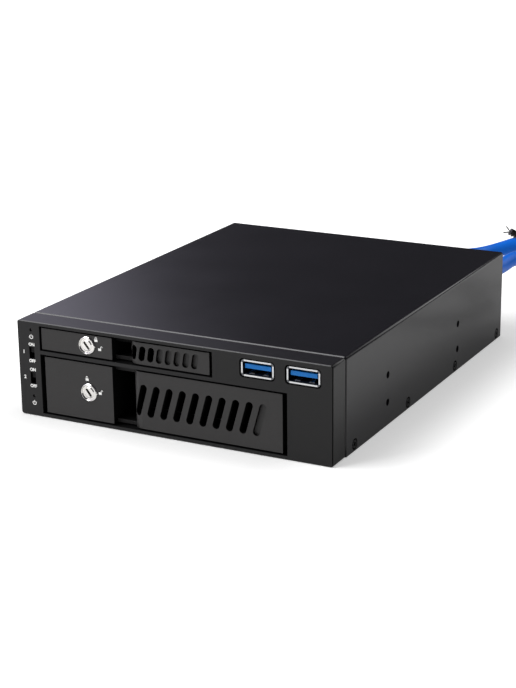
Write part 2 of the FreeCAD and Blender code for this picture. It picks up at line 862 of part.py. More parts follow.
def drive_socket(bay):
    """A drive socket on the backplane: a bar with the slot that takes the drive's contact blades."""
    middle = (bay.left + bay.right) / 2 + socket_offset
    height = bay.low + socket_lift
    body = new_body(f"{bay.name}_drive_socket")
    front = board_front - socket_reach
    plan = sketch(body, "front", front)
    box_outline(plan, middle - socket_half_width, middle + socket_half_width,
                height - socket_half_height, height + socket_half_height)
    pad(body, plan, socket_reach)
    plan = sketch(body, "front", front)
    key = middle - socket_key
    slots = (
        (middle - socket_half_width + socket_end, key - socket_slot),
        (key + socket_slot, middle + socket_half_width - socket_end),
    )
    for left, right in slots:
        box_outline(plan, left, right, height - socket_slot, height + socket_slot)
    pocket(body, plan, socket_reach - socket_slot)


def rear_port(label, across, half):
    """A shrouded plug on the back of the backplane, with the contact blade inside the shroud."""
    body = new_body(label)
    front = board_front + board_gauge
    plan = sketch(body, "front", front)
    box_outline(plan, across - half, across + half,
                port_height - port_half_height, port_height + port_half_height)
    pad(body, plan, overall_depth - front)
    plan = sketch(body, "front", overall_depth)
    inner = half - port_wall
    rise = port_half_height - port_wall
    box_outline(plan, across - inner, across + inner, port_height - rise, port_height + rise)
    pocket(body, plan, port_depth, reverse=True)
    plan = sketch(body, "front", overall_depth - port_depth)
    blade = inner - blade_inset
    box_outline(plan, across - blade, across + blade, port_height - tongue_half, port_height + tongue_half)
    pad(body, plan, port_depth - blade_setback)


# Trays: moulded front, rails, hinge pin, lock bush

def tray_front(bay):
    body = new_body(f"{bay.name}_tray_front")
    depth = tray_front_depth - tray_face
    pivot_x = bay.right - pivot_inset
    pivot_y = tray_face + pivot_depth
    door_back = tray_face + door_plate + door_gap
    low, high = bay.low + tray_edge, bay.high - tray_edge
    beyond = bay.right + past_edge

    plan = sketch(body, "front", tray_face)
    box_outline(plan, bay.left, bay.right, bay.low, bay.high)
    pad(body, plan, depth)
    plan = sketch(body, "front", tray_face)
    box_outline(plan, bay.panel_right, beyond, bay.low - past_edge, bay.high + past_edge)
    pocket(body, plan, door_back - tray_face)

    plan = sketch(body, "front", door_back)
    box_outline(plan, bay.panel_right, bay.right - bay.rail_width, low, high)
    pocket(body, plan, depth)
    plan = sketch(body, "front", door_back)
    box_outline(plan, pivot_x + lug_radius + pin_play, beyond,
                bay.low - past_edge, bay.high + past_edge)
    pocket(body, plan, swing_room)
    plan = sketch(body, "front", door_back)
    box_outline(plan, pivot_x - knuckle_radius - door_gap, beyond, low, high)
    pocket(body, plan, swing_room)

    plan = sketch(body, "front", tray_front_depth)
    hole_outline(plan, bay.lock_across, bay.lock_height, bush_radius)
    pocket(body, plan, depth - panel_wall, reverse=True)
    plan = sketch(body, "front", tray_front_depth)
    box_outline(plan, bay.left + block_wall, bay.panel_right - block_wall, low, high)
    pocket(body, plan, depth - panel_wall, reverse=True)

    for foot in (bay.low, high):
        plan = sketch(body, "top", foot)
        hole_outline(plan, pivot_x, pivot_y, lug_radius)
        pad(body, plan, tray_edge)
        plan = sketch(body, "top", foot)
        box_outline(plan, pivot_x - lug_radius, pivot_x + lug_radius, pivot_y, door_back + past_edge)
        pad(body, plan, tray_edge)
    plan = sketch(body, "top", bay.low)
    hole_outline(plan, pivot_x, pivot_y, pin_radius)
    pocket(body, plan, bay.high - bay.low)

    plan = sketch(body, "front", tray_face)
    hole_outline(plan, bay.lock_across, bay.lock_height, lock_radius + head_seat)
    pocket(body, plan, lock_head - tray_face + head_seat)
    plan = sketch(body, "front", tray_face)
    hole_outline(plan, bay.lock_across, bay.lock_height, lock_barrel + head_seat)
    pocket(body, plan, panel_wall)
    cam_slot(body, bay, bay.low + tray_edge, tray_edge)


def tray_rails(bay):
    """The frame behind the tray front: two grooved rails and a front plate that closes the lock block."""
    body = new_body(f"{bay.name}_tray_rails")
    inner_left = bay.left + bay.rail_width
    inner_right = bay.right - bay.rail_width
    plate_back = tray_front_depth + rail_plate
    plan = sketch(body, "top", bay.low)
    outline(plan, [
        (bay.left, tray_front_depth), (bay.right, tray_front_depth), (bay.right, tray_back),
        (inner_right, tray_back), (inner_right, plate_back), (inner_left, plate_back),
        (inner_left, tray_back), (bay.left, tray_back),
    ])
    pad(body, plan, bay.high - bay.low)
    plan = sketch(body, "front", tray_front_depth)
    box_outline(plan, bay.panel_right, inner_right, bay.low + tray_edge, bay.high - tray_edge)
    pocket(body, plan, rail_plate)
    for side, level in (("left", bay.left), ("right", bay.right)):
        plan = sketch(body, "side", level)
        box_outline(plan, plate_back, tray_back + past_edge,
                    bay.groove_height - groove_half, bay.groove_height + groove_half)
        pocket(body, plan, groove_depth, reverse=side == "right")
    plan = sketch(body, "side", bay.right)
    hole_outline(plan, drive_hole_front, bay.low + bay.screw_lift, drive_hole)
    hole_outline(plan, drive_hole_front + bay.drive_pitch, bay.low + bay.screw_lift, drive_hole)
    pocket(body, plan, bay.right - bay.left, reverse=True)


def lever_pin(bay):
    along = tray_face + pivot_depth
    keep(post(f"{bay.name}_lever_pin", bay.right - pivot_inset, along, pin_radius, bay.low, bay.high))


def lock_bush(bay):
    label = f"{bay.name}_lock_bush"
    front = tray_face + panel_wall
    outer = rod(f"{label}_blank", bay.lock_across, bay.lock_height, bush_radius, front, bush_back)
    bore = rod(f"{label}_bore", bay.lock_across, bay.lock_height, lock_bore, front, bush_back)
    keep(subtract(label, outer, [bore]))


# Lever doors: a rolled plate on a pin, with leaning vent slots

def lever_door(bay):
    body = new_body(f"{bay.name}_lever")
    face = tray_face
    back = face + door_plate
    pivot_x = bay.right - pivot_inset
    pivot_y = face + pivot_depth

    plan = sketch(body, "top", bay.low)
    outline(plan, [
        (bay.door_left, face), (bay.right, face), (bay.right, back), (bay.door_left + grip_wall, back),
        (bay.door_left + grip_wall, grip_depth), (bay.door_left, grip_depth),
    ])
    pad(body, plan, bay.high - bay.low)
    upright = lambda box: box.ZLength > (bay.high - bay.low).value - SLACK
    dress(body, "Fillet", door_roll,
          lambda mid, box: upright(box) and near(mid.x, bay.door_left) and near(mid.y, face))
    dress(body, "Fillet", door_roll - grip_wall,
          lambda mid, box: upright(box) and near(mid.x, bay.door_left + grip_wall) and near(mid.y, back))

    plan = sketch(body, "top", bay.low)
    hole_outline(plan, pivot_x, pivot_y, knuckle_radius)
    pad(body, plan, bay.high - bay.low)

    room = tray_edge + end_play
    for low, high in ((bay.low - past_edge, bay.low + room), (bay.high - room, bay.high + past_edge)):
        plan = sketch(body, "front", back)
        box_outline(plan, bay.door_left - past_edge, bay.right + past_edge, low, high)
        pocket(body, plan, grip_depth)
        plan = sketch(body, "front", face + lug_skin)
        box_outline(plan, pivot_x - knuckle_radius - past_edge, bay.right + past_edge, low, high)
        pocket(body, plan, grip_depth)

    plan = sketch(body, "top", bay.low)
    hole_outline(plan, pivot_x, pivot_y, pin_radius + pin_play)
    pocket(body, plan, bay.high - bay.low)
    vent_rows(body, bay, face)


def vent_rows(body, bay, face):
    """The open slots from the grip end, then the shallow blind ones, all at one pitch and lean."""
    opened = open_vents[bay.name]
    for start, count, depth in ((0, opened, vent_depth), (opened, blind_vents[bay.name], blind_depth)):
        across = bay.vent_across + bay.vent_pitch * start
        plan = sketch(body, "front", face, across=across, up=bay.vent_height, turn=-bay.vent_lean)
        slot_outline(plan, bay.vent_half, bay.vent_radius)
        slot = pocket(body, plan, depth)
        if count > 1:
            row_of(body, [slot], "X_Axis", bay.vent_pitch, count)


# Key locks: plug with a dished head, key slot and pointer, and the cam on its tail

def lock_plug(bay):
    """A bevelled rim, a dish inside it, and the plug's own face in the dish with the slanting key slot."""
    body = new_body(f"{bay.name}_lock_plug")
    turned(body, (bay.lock_across, bay.lock_height), [
        (0.0, plug_recess), (plug_face - rim_bevel, plug_recess), (plug_face, dish_depth),
        (rim_inner, dish_depth), (rim_inner + rim_bevel, 0.0), (lock_radius - rim_bevel, 0.0),
        (lock_radius, rim_bevel), (lock_radius, lock_head), (lock_barrel, lock_head),
        (lock_barrel, barrel_back), (tail_radius, barrel_back), (tail_radius, tail_back), (0.0, tail_back),
    ])
    plan = sketch(body, "front", 0.0, across=bay.lock_across, up=bay.lock_height)
    outline(plan, [(nib_root, -nib_half), (nib_reach, 0.0), (nib_root, nib_half)])
    pad(body, plan, nib_gauge)
    plan = sketch(body, "front", 0.0, across=bay.lock_across, up=bay.lock_height, turn=key_turn)
    box_outline(plan, -key_half_width, key_half_width, -key_half_height, key_half_height)
    pocket(body, plan, key_depth)


def lock_cam(bay):
    """A plate on the plug's tail: level at rest, pointing down into its slot when locked."""
    body = new_body(f"{bay.name}_lock_cam")
    plan = sketch(body, "front", cam_front)
    box_outline(plan, bay.lock_across - bay.cam_reach, bay.lock_across,
                bay.lock_height - cam_half, bay.lock_height + cam_half)
    pad(body, plan, cam_gauge)
    plan = sketch(body, "front", cam_front)
    hole_outline(plan, bay.lock_across, bay.lock_height, cam_hub)
    pad(body, plan, cam_gauge)
    plan = sketch(body, "front", cam_front)
    hole_outline(plan, bay.lock_across, bay.lock_height, tail_radius)
    pocket(body, plan, cam_gauge)


# Switch strip: board, slide switches and light pipes behind the bezel's left edge

def switch_board():
    front = switch_board_front
    keep(block("switch_board", strip_across - strip_left, strip_across + strip_right, front,
               front + board_gauge, lower_lamp_height - strip_below, upper_lamp_height + strip_above))


def light_pipes():
    radius = lamp_radius - pipe_play
    heights = (upper_lamp_height, lower_lamp_height)
    pipes = [rod(f"light_pipe_{index}", strip_across, height, radius, pipe_front, switch_board_front)
             for index, height in enumerate(heights)]
    keep(group("light_pipes", pipes))


def slide_switch(name, height):
    """A switch housing with a slotted front, and its slider standing at the ON end."""
    label = f"{name}_switch_housing"
    shell = block(f"{label}_blank", strip_across - switch_half_width, strip_across + switch_half_width,
                  switch_front, switch_board_front, height - switch_half_height, height + switch_half_height)
    room_width = switch_half_width - switch_wall
    room_height = switch_half_height - switch_wall
    room = block(f"{label}_room", strip_across - room_width, strip_across + room_width,
                 switch_front + switch_wall, switch_board_front - switch_wall,
                 height - room_height, height + room_height)
    mouth = block(f"{label}_mouth", strip_across - slot_half_width, strip_across + slot_half_width,
                  switch_front - past_edge, switch_front + switch_wall + past_edge,
                  height - slot_half_height, height + slot_half_height)
    keep(subtract(label, shell, [room, mouth]))

    label = f"{name}_switch_slider"
    middle = height + slider_rise
    shoe_front = switch_front + switch_wall + shoe_play
    stem = block(f"{label}_stem", strip_across - slider_half_width, strip_across + slider_half_width,
                 slider_face, shoe_front, middle - slider_half_height, middle + slider_half_height)
    shoe_width = room_width - shoe_play
    shoe = block(f"{label}_shoe", strip_across - shoe_width, strip_across + shoe_width,
                 shoe_front, shoe_front + shoe_gauge, middle - shoe_half, middle + shoe_half)
    keep(unite(label, [stem, shoe]))


# USB ports: steel shells whose mouths flare in four flaps, blue inserts, the board under them and its spacers

def usb_port(name, across):
    shell = new_body(f"usb_shell_{name}")
    lip_back = lip_front + lip_depth

    def rim(level, inset, half_across, half_up):
        plan = sketch(shell, "front", level, across=across, up=usb_height)
        box_outline(plan, -half_across + inset, half_across - inset, -half_up + inset, half_up - inset)
        return plan

    def loft(kind, front_inset, back_inset):
        feature = shell.newObject(f"PartDesign::{kind}", f"{shell.Label}_flare")
        feature.Profile = rim(lip_front, front_inset, lip_half_width, lip_half_height)
        feature.Sections = [rim(lip_back, back_inset, shell_half_width, shell_half_height)]
        return feature

    loft("AdditiveLoft", 0.0, 0.0)
    pad(shell, rim(lip_back, 0.0, shell_half_width, shell_half_height), shell_back - lip_back)
    doc.recompute()
    flare_across = (lip_half_width - shell_half_width).value
    flare_up = (lip_half_height - shell_half_height).value
    lengthwise = lambda box: box.YLength > lip_depth.value - SLACK
    at_side = lambda mid: near(abs(mid.x - across.value), shell_half_width, flare_across)
    at_end = lambda mid: near(abs(mid.z - usb_height.value), shell_half_height, flare_up)
    dress(shell, "Fillet", shell_corner,
          lambda mid, box: lengthwise(box) and at_side(mid) and at_end(mid))
    doc.recompute()
    loft("SubtractiveLoft", lip_wall, shell_wall)
    pocket(shell, rim(lip_back, shell_wall, shell_half_width, shell_half_height),
           shell_back - lip_back - shell_wall)
    plan = sketch(shell, "front", lip_front, across=across, up=usb_height)
    for side in (1.0, -1.0):
        for end in (1.0, -1.0):
            box_outline(plan, (lip_half_width - lip_notch) * side, (lip_half_width + past_edge) * side,
                        (lip_half_height - lip_notch) * end, (lip_half_height + past_edge) * end)
    pocket(shell, plan, lip_depth)

    insert = new_body(f"usb_insert_{name}")
    plan = sketch(insert, "front", insert_front, across=across, up=usb_height)
    inner_width, inner_height = shell_half_width - shell_wall, shell_half_height - shell_wall
    box_outline(plan, -inner_width + insert_play, inner_width - insert_play,
                -inner_height + insert_play, inner_height - insert_play)
    pad(insert, plan, shell_back - shell_wall - insert_front)
    plan = sketch(insert, "front", tongue_front, across=across, up=usb_height)
    box_outline(plan, -tongue_half_width, tongue_half_width, tongue_low, tongue_high)
    pad(insert, plan, insert_front - tongue_front)


def usb_board():
    top = usb_height - shell_half_height
    low = top - usb_board_gauge
    keep(block("usb_board", usb_board_left, usb_board_right, usb_board_front, usb_board_back, low, top))
    corners = ((spacer_left, spacer_front), (spacer_left, spacer_back),
               (spacer_right, spacer_front), (spacer_right, spacer_back))
    foot = shelf_low + shelf_gauge
    posts = [hex_bar(f"usb_spacer_{index}", across, along, foot, spacer_radius, low - foot, upright=True)
             for index, (across, along) in enumerate(corners)]
    keep(group("usb_board_spacers", posts))


# Leads: grommets in the rear panel, two blue leads, their coil, ties and the header plug

# Routes in millimetres from the origin, chosen by hand: out of the grommets, over one another, down to the
# surface and into the coil; then out of the coil to the plug.
LEFT_ROUTE = [
    (46.0, 97.0, 32.5), (46.0, 110.5, 32.5), (48.6, 124.0, 31.4), (54.0, 136.6, 31.4), (63.0, 147.4, 31.8),
    (75.0, 155.5, 29.4), (89.0, 161.0, 23.8), (104.0, 163.6, 15.6), (119.0, 163.6, 8.2), (134.0, 161.4, 4.2),
]
RIGHT_ROUTE = [
    (61.0, 97.0, 27.0), (61.0, 109.5, 27.0), (61.1, 122.0, 25.6), (62.0, 134.6, 24.6), (66.3, 147.0, 23.2),
    (74.3, 157.9, 20.8), (85.5, 166.3, 16.8), (99.6, 171.1, 11.6), (116.2, 172.0, 6.9), (134.0, 168.7, 3.8),
]
LEFT_TAIL = [(168.9, 126.5, 10.6), (169.2, 112.0, 8.4), (168.9, 98.0, 5.0), (168.9, 83.5, 5.0)]
RIGHT_TAIL = [(176.2, 126.5, 10.6), (176.5, 112.0, 8.4), (176.2, 98.0, 5.0), (176.2, 83.5, 5.0)]
LEAD_SIDES = 12
ARC_SHARE = 0.45
VOLUME_SHARE = 0.01
TIE_CORNER = 4


def bend(before, corner, after):
    """The tangent arc at a corner, as large as its two runs allow: its start, middle, end and radius."""
    back, on = before - corner, after - corner
    half_turn = (math.pi - back.getAngle(on)) / 2
    reach = ARC_SHARE * min(back.Length, on.Length)
    radius = reach / math.tan(half_turn)
    back.normalize()
    on.normalize()
    inward = back + on
    inward.normalize()
    middle = corner + inward * (radius / math.cos(half_turn) - radius)
    return corner + back * reach, middle, corner + on * reach, radius


def lead_path(label, points):
    """Straight runs joined by tangent arcs."""
    points = [Vector(*point) for point in points]
    edges = []
    start = points[0]
    radii = []
    for before, corner, after in zip(points, points[1:], points[2:]):
        first, middle, last, radius = bend(before, corner, after)
        radii.append(round(radius, 1))
        edges.append(Part.LineSegment(start, first).toShape())
        edges.append(Part.Arc(first, middle, last).toShape())
        start = last
    edges.append(Part.LineSegment(start, points[-1]).toShape())
    print(label, "arc radii", radii)
    return Part.Wire(edges)


def lead_section(centre, heading, radius):
    """A plain many-sided section that stands for the round jacket."""
    across = heading.cross(Vector(0, 0, 1))
    across.normalize()
    up = across.cross(heading)
    corners = []
    for index in range(LEAD_SIDES + 1):
        angle = 2 * math.pi * index / LEAD_SIDES
        corners.append(centre + across * (radius * math.cos(angle)) + up * (radius * math.sin(angle)))
    return Part.makePolygon(corners)


def lead_tube(label, points):
    path = lead_path(label, points)
    radius = lead_radius.value
    first = path.Edges[0]
    heading = first.tangentAt(first.FirstParameter)
    ring = lead_section(Vector(*points[0]), heading, radius)
    tube = path.makePipeShell([ring], True, False)
    wanted = Part.Face(ring).Area * path.Length
    if abs(tube.Volume - wanted) > VOLUME_SHARE * wanted:
        raise RuntimeError(f"{label}: tube volume {tube.Volume:.0f}, section times length {wanted:.0f}")
    print(label, "length", round(path.Length, 1))
    return tube


def lead(label, route, tail):
    item = doc.addObject("Part::Feature", label)
    item.Label = label
    item.Shape = Part.makeCompound([lead_tube(f"{label} run", route), lead_tube(f"{label} tail", tail)])
    item.Placement = FreeCAD.Placement()
    keep(item)


def grommets():
    """Rubber grommets that seat in the rear panel's holes and taper along the leads."""
    body = new_body("lead_grommets")
    inside = rack_depth - gauge
    for across, height in ((left_exit_across, left_exit_height), (right_exit_across, right_exit_height)):
        turned(body, (across, height), [
            (0.0, inside - grommet_inside), (grommet_flange, inside - grommet_inside),
            (grommet_flange, inside), (grommet_hole, inside), (grommet_hole, rack_depth),
            (grommet_flange, rack_depth), (grommet_flange, rack_depth + grommet_outside),
            (grommet_tip, grommet_back), (0.0, grommet_back),
        ])


def inner_leads():
    """The leads' straight runs inside the housing: one from the USB board's edge, one from under it."""
    back = rack_depth - gauge - grommet_inside
    under = usb_board_back - lead_overlap
    left = rod("inner_lead_left", left_exit_across, left_exit_height, lead_radius, usb_board_back, back)
    right = rod("inner_lead_right", right_exit_across, right_exit_height, lead_radius, under, back)
    keep(group("inner_leads", [left, right]))


def lead_coil():
    """The outer shape of the wound length: a ring that lies on the surface."""
    outer = doc.addObject("Part::Cylinder", "lead_coil_blank")
    inner = doc.addObject("Part::Cylinder", "lead_coil_eye")
    for item, radius in ((outer, coil_outer), (inner, coil_inner)):
        bind(item, "Radius", radius)
        bind(item, "Height", coil_height)
        bind(item, "Placement.Base.x", coil_across)
        bind(item, "Placement.Base.y", coil_along)
    keep(subtract("lead_coil", outer, [inner]))


def lead_tie():
    """The wire tie round the upper lead, square to it in the bend where the two leads cross."""
    stretch = [Vector(*point) for point in LEFT_ROUTE[TIE_CORNER - 1:TIE_CORNER + 2]]
    first, middle, last = bend(*stretch)[:3]
    heading = last - first
    heading.normalize()
    foot = middle - heading * (tie_width.value / 2)
    eye_radius = lead_radius.value + tie_play.value
    band = Part.makeCylinder(eye_radius + tie_gauge.value, tie_width.value, foot, heading)
    eye = Part.makeCylinder(eye_radius, tie_width.value, foot, heading)
    item = doc.addObject("Part::Feature", "lead_tie")
    item.Label = "lead_tie"
    item.Shape = band.cut(eye)
    item.Placement = FreeCAD.Placement()
    keep(item)


def header_plug():
    """A flat board-header plug lying on the surface, with a stepped grip and an open front."""
    middle = (Vector(*LEFT_TAIL[-1]) + Vector(*RIGHT_TAIL[-1])) / 2
    back = middle.y - origin_shift.value
    front = back - plug_length
    body = new_body("header_plug")
    plan = sketch(body, "front", back - plug_grip_length)
    box_outline(plan, middle.x - plug_grip_half, middle.x + plug_grip_half, 0.0, plug_height)
    pad(body, plan, plug_grip_length)
    plan = sketch(body, "front", front)
    box_outline(plan, middle.x - plug_half, middle.x + plug_half, plug_step, plug_height - plug_step)
    pad(body, plan, plug_length - plug_grip_length)
    plan = sketch(body, "front", front)
    inner = plug_half - plug_wall
    rim = plug_step + plug_wall
    box_outline(plan, middle.x - inner, middle.x + inner, rim, plug_height - rim)
    pocket(body, plan, plug_depth)


front_bezel()
top_cover()
cover_screws()
base_pan()
rear_panel()
rear_screws()
board_standoffs()
mid_shelf()
backplane_board()
for bay in (upper, lower):
    tray_guide(bay, "left")
    tray_guide(bay, "right")
    drive_socket(bay)
    tray_front(bay)
    tray_rails(bay)
    lever_pin(bay)
    lock_bush(bay)
    lever_door(bay)
    lock_plug(bay)
    lock_cam(bay)
for label, across in DATA_PORTS.items():
    rear_port(label, across, data_half_width)
rear_port("power_inlet", power_across, power_half_width)
switch_board()
light_pipes()
slide_switch("upper", upper_switch_height)
slide_switch("lower", lower_switch_height)
usb_port("left", usb_left_across)
usb_port("right", usb_right_across)
usb_board()
grommets()
inner_leads()
lead("lead_left", LEFT_ROUTE, LEFT_TAIL)
lead("lead_right", RIGHT_ROUTE, RIGHT_TAIL)
lead_coil()
lead_tie()
header_plug()

doc.recompute()
for item in doc.Objects:
    if {"Invalid", "Error"} & set(item.State):
        raise RuntimeError(f"{item.Label} failed: {item.State}")
for node in nodes:
    if node.Shape.isNull() or not node.Shape.isValid() or not node.Shape.Solids:
        raise RuntimeError(f"{node.Label} has no valid solid")

os.makedirs("parts", exist_ok=True)
for node in nodes:
    node.Shape.exportStep(f"parts/{node.Label}.step")
print(len(nodes), "sub-parts written")
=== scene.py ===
# %% [markdown]
# # A lockable drive rack for an optical bay
#
# The rack is a folded black steel box with a moulded front. Two trays slide out of the front, each with a key
# lock and a vented lever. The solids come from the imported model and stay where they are. This lesson gives
# them their finishes, adds what is too fine or too soft for the solids (leads, ties, contacts, screw heads,
# print), and lights the scene as in a plain product photograph.

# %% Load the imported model
import json
import math

import bmesh
import bpy
from mathutils import Color, Matrix, Vector


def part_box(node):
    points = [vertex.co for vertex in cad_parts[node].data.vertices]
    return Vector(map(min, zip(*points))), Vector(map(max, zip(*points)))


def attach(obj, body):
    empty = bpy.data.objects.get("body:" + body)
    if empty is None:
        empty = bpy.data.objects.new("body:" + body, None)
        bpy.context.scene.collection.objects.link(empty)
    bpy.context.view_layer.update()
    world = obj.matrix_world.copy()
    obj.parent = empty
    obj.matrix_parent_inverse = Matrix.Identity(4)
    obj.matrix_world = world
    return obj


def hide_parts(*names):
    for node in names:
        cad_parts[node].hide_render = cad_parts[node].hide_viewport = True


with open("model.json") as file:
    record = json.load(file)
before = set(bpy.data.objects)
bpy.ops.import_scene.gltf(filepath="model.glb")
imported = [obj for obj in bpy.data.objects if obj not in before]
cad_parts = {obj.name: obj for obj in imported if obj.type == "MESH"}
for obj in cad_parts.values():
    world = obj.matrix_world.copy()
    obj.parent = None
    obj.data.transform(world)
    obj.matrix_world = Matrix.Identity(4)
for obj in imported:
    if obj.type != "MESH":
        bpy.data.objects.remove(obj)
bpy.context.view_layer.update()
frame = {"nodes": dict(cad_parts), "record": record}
nodes = frame["nodes"]
scene = bpy.context.scene
MM = 0.001
print("nodes loaded:", len(nodes))

# %% [markdown]
# ## Camera
#
# A camera can be placed by eye, but straight edges of the rack let us solve for it: its height, the way it
# looks and its focal length all follow from where the corners fall in the picture. The angles turn the camera
# round the rack, then up, then a little about its own line of sight.

# %% Camera
PICTURE_HEIGHT = 688
FOCAL_PIXELS = 1689.73
SENSOR_MM = 36.0
NEAREST_SEEN = 0.01
CAMERA_PLACE = Vector((328.24, -649.49, 241.85)) * MM
AZIMUTH, ELEVATION, ROLL = (math.radians(angle) for angle in (27.61, 17.53, -0.69))
UP = Vector((0, 0, 1))

backward = Vector((
    math.sin(AZIMUTH) * math.cos(ELEVATION),
    -math.cos(AZIMUTH) * math.cos(ELEVATION),
    math.sin(ELEVATION),
))
level_right = (-backward).cross(UP).normalized()
level_up = backward.cross(level_right)
camera_right = level_right * math.cos(ROLL) + level_up * math.sin(ROLL)
camera_up = level_up * math.cos(ROLL) - level_right * math.sin(ROLL)

camera = bpy.data.objects.new("camera", bpy.data.cameras.new("camera"))
camera.data.sensor_width = SENSOR_MM
camera.data.lens = FOCAL_PIXELS / PICTURE_HEIGHT * SENSOR_MM
camera.data.clip_start = NEAREST_SEEN
camera.matrix_world = (
    Matrix.Translation(CAMERA_PLACE)
    @ Matrix((camera_right, camera_up, backward)).transposed().to_4x4()
)
scene.collection.objects.link(camera)
scene.camera = camera
print("camera lens", round(camera.data.lens, 2))

# %% [markdown]
# ## Leads
#
# Two blue leads leave the back of the rack through rubber grommets, cross, and go down to the table. Only
# their first stretch is in view, so the rest is wound into a neat coil beside the rack, as for storage, and
# ends in one plug. A cord is a curve: its control points are the route, and a round bevel gives it thickness.
# The stretch in view departs a little from the solid's, to follow the photograph. The turns of the coil are
# worked out in a loop, a little wide because the curve cuts inside its points.

# %% Routes of the leads, in millimetres
LEAD_DIAMETER = 7.2
LEFT_ROUTE = [
    (46.0, 97.0, 32.5), (46.0, 110.5, 32.0), (48.6, 124.0, 29.6), (54.0, 136.6, 29.7), (63.0, 147.4, 32.4),
    (75.0, 155.5, 30.4), (89.0, 161.0, 24.0), (104.0, 163.6, 15.6), (119.0, 163.6, 8.2), (134.0, 161.4, 4.2),
]
RIGHT_ROUTE = [
    (61.0, 97.0, 27.0), (61.0, 109.5, 26.5), (61.1, 122.0, 25.4), (62.0, 134.6, 26.6), (67.3, 147.0, 25.2),
    (75.3, 157.9, 21.6), (86.0, 166.3, 16.8), (99.6, 171.1, 11.6), (116.2, 172.0, 6.9), (134.0, 168.7, 3.8),
]
LEFT_TAIL = [(168.9, 126.5, 10.6), (169.2, 112.0, 8.4), (168.9, 98.0, 5.0), (168.9, 83.5, 5.0)]
RIGHT_TAIL = [(176.2, 126.5, 10.6), (176.5, 112.0, 8.4), (176.2, 98.0, 5.0), (176.2, 83.5, 5.0)]
COIL_CENTRE = (134.0, 126.5)
left_radius = LEFT_ROUTE[-1][1] - COIL_CENTRE[1]
right_radius = RIGHT_ROUTE[-1][1] - COIL_CENTRE[1]
print("coil radii", round(left_radius, 2), "and", round(right_radius, 2), "mm")

# %% The turns of the coil
COIL_STEPS = 24
COIL_TURNS = 1.25
LIFT_START, LIFT_END = 0.70, 0.96


def coil_points(radius):
    """The wound stretch, clockwise from the far side, rising onto itself before it has gone once round."""
    reach = radius / math.cos(math.pi / COIL_STEPS)
    points = []
    for step in range(1, int(COIL_STEPS * COIL_TURNS)):
        turns = step / COIL_STEPS
        angle = math.pi / 2 - 2 * math.pi * turns
        share = min(1.0, max(0.0, (turns - LIFT_START) / (LIFT_END - LIFT_START)))
        lift = share * share * (3 - 2 * share)
        points.append((
            COIL_CENTRE[0] + reach * math.cos(angle),
            COIL_CENTRE[1] + reach * math.sin(angle),
            LEAD_DIAMETER / 2 + lift * LEAD_DIAMETER,
        ))
    return points


left_points = LEFT_ROUTE + coil_points(left_radius) + LEFT_TAIL
right_points = RIGHT_ROUTE + coil_points(right_radius) + RIGHT_TAIL
print("leads", len(left_points), "and", len(right_points), "points")

# %% Smooth lines along the routes
SPAN_STEPS = 8
ROUND_STEPS = 6


def smooth_line(name, points, radius):
    """A round curve with these control points, in millimetres.

    Its bevel is 1 and its thickness is in the radius of its points, because a curve's box counts that.
    """
    curve = bpy.data.curves.new(name, "CURVE")
    curve.dimensions = "3D"
    curve.resolution_u = SPAN_STEPS
    curve.bevel_depth = 1.0
    curve.bevel_resolution = ROUND_STEPS
    curve.use_fill_caps = True
    spline = curve.splines.new("NURBS")
    spline.points.add(len(points) - 1)
    for control, point in zip(spline.points, points):
        control.co = (*(Vector(point) * MM), 1.0)
        control.radius = radius * MM
    spline.order_u = 3
    spline.use_endpoint_u = True
    line = bpy.data.objects.new(name, curve)
    scene.collection.objects.link(line)
    return line


left_lead = smooth_line("left_lead", left_points, LEAD_DIAMETER / 2)
right_lead = smooth_line("right_lead", right_points, LEAD_DIAMETER / 2)
for lead in (left_lead, right_lead):
    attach(lead, "chassis")
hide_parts("lead_left", "lead_coil")
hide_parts("lead_right")
print("lines drawn:", left_lead.name, right_lead.name)

# %% [markdown]
# ## Ties on the leads
#
# A plastic-coated wire tie is wrapped once round the upper lead and its two ends are twisted together. Spin
# does both jobs: a full turn of a small outline about the lead makes the band, and a turn with a step along
# its axis makes the twist, because it screws the outline forward as it goes round. The band sits on the
# smooth line near one of its control points, where three points in a row pull the line with known weights.

# %% Helpers that turn a bmesh into a piece
SHARP = math.radians(30)
MERGE_DISTANCE = 1e-7


def add_piece(name, shape, body):
    """Make an object of a bmesh, in place, riding on a body, with smooth faces and sharp corners."""
    bmesh.ops.remove_doubles(shape, verts=shape.verts, dist=MERGE_DISTANCE)
    bmesh.ops.recalc_face_normals(shape, faces=shape.faces)
    for face in shape.faces:
        face.smooth = True
    for edge in shape.edges:
        edge.smooth = len(edge.link_faces) == 2 and edge.calc_face_angle(math.pi) < SHARP
    mesh = bpy.data.meshes.new(name)
    shape.to_mesh(mesh)
    shape.free()
    piece = bpy.data.objects.new(name, mesh)
    scene.collection.objects.link(piece)
    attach(piece, body)
    return piece


def joined(shapes):
    """One bmesh of several."""
    whole = bmesh.new()
    for shape in shapes:
        mesh = bpy.data.meshes.new("part_of_piece")
        shape.to_mesh(mesh)
        shape.free()
        whole.from_mesh(mesh)
        bpy.data.meshes.remove(mesh)
    return whole


# %% Helpers for outlines and blocks
EDGE_SEGMENTS = 2


def rectangle(left, right, low, high):
    """The four corners of a flat outline, in turn."""
    return [(left, low), (right, low), (right, high), (left, high)]


def closed_loop(shape, points):
    """The vertices and edges of a closed outline, in millimetres."""
    verts = [shape.verts.new(Vector(point) * MM) for point in points]
    edges = [shape.edges.new((verts[index - 1], verts[index])) for index in range(len(verts))]
    return verts + edges


def close_ends(shape):
    """Fill the two open ends that part of a turn of a four-sided outline leaves."""
    rims = [edge for edge in shape.edges if edge.is_boundary]
    bmesh.ops.holes_fill(shape, edges=rims, sides=4)


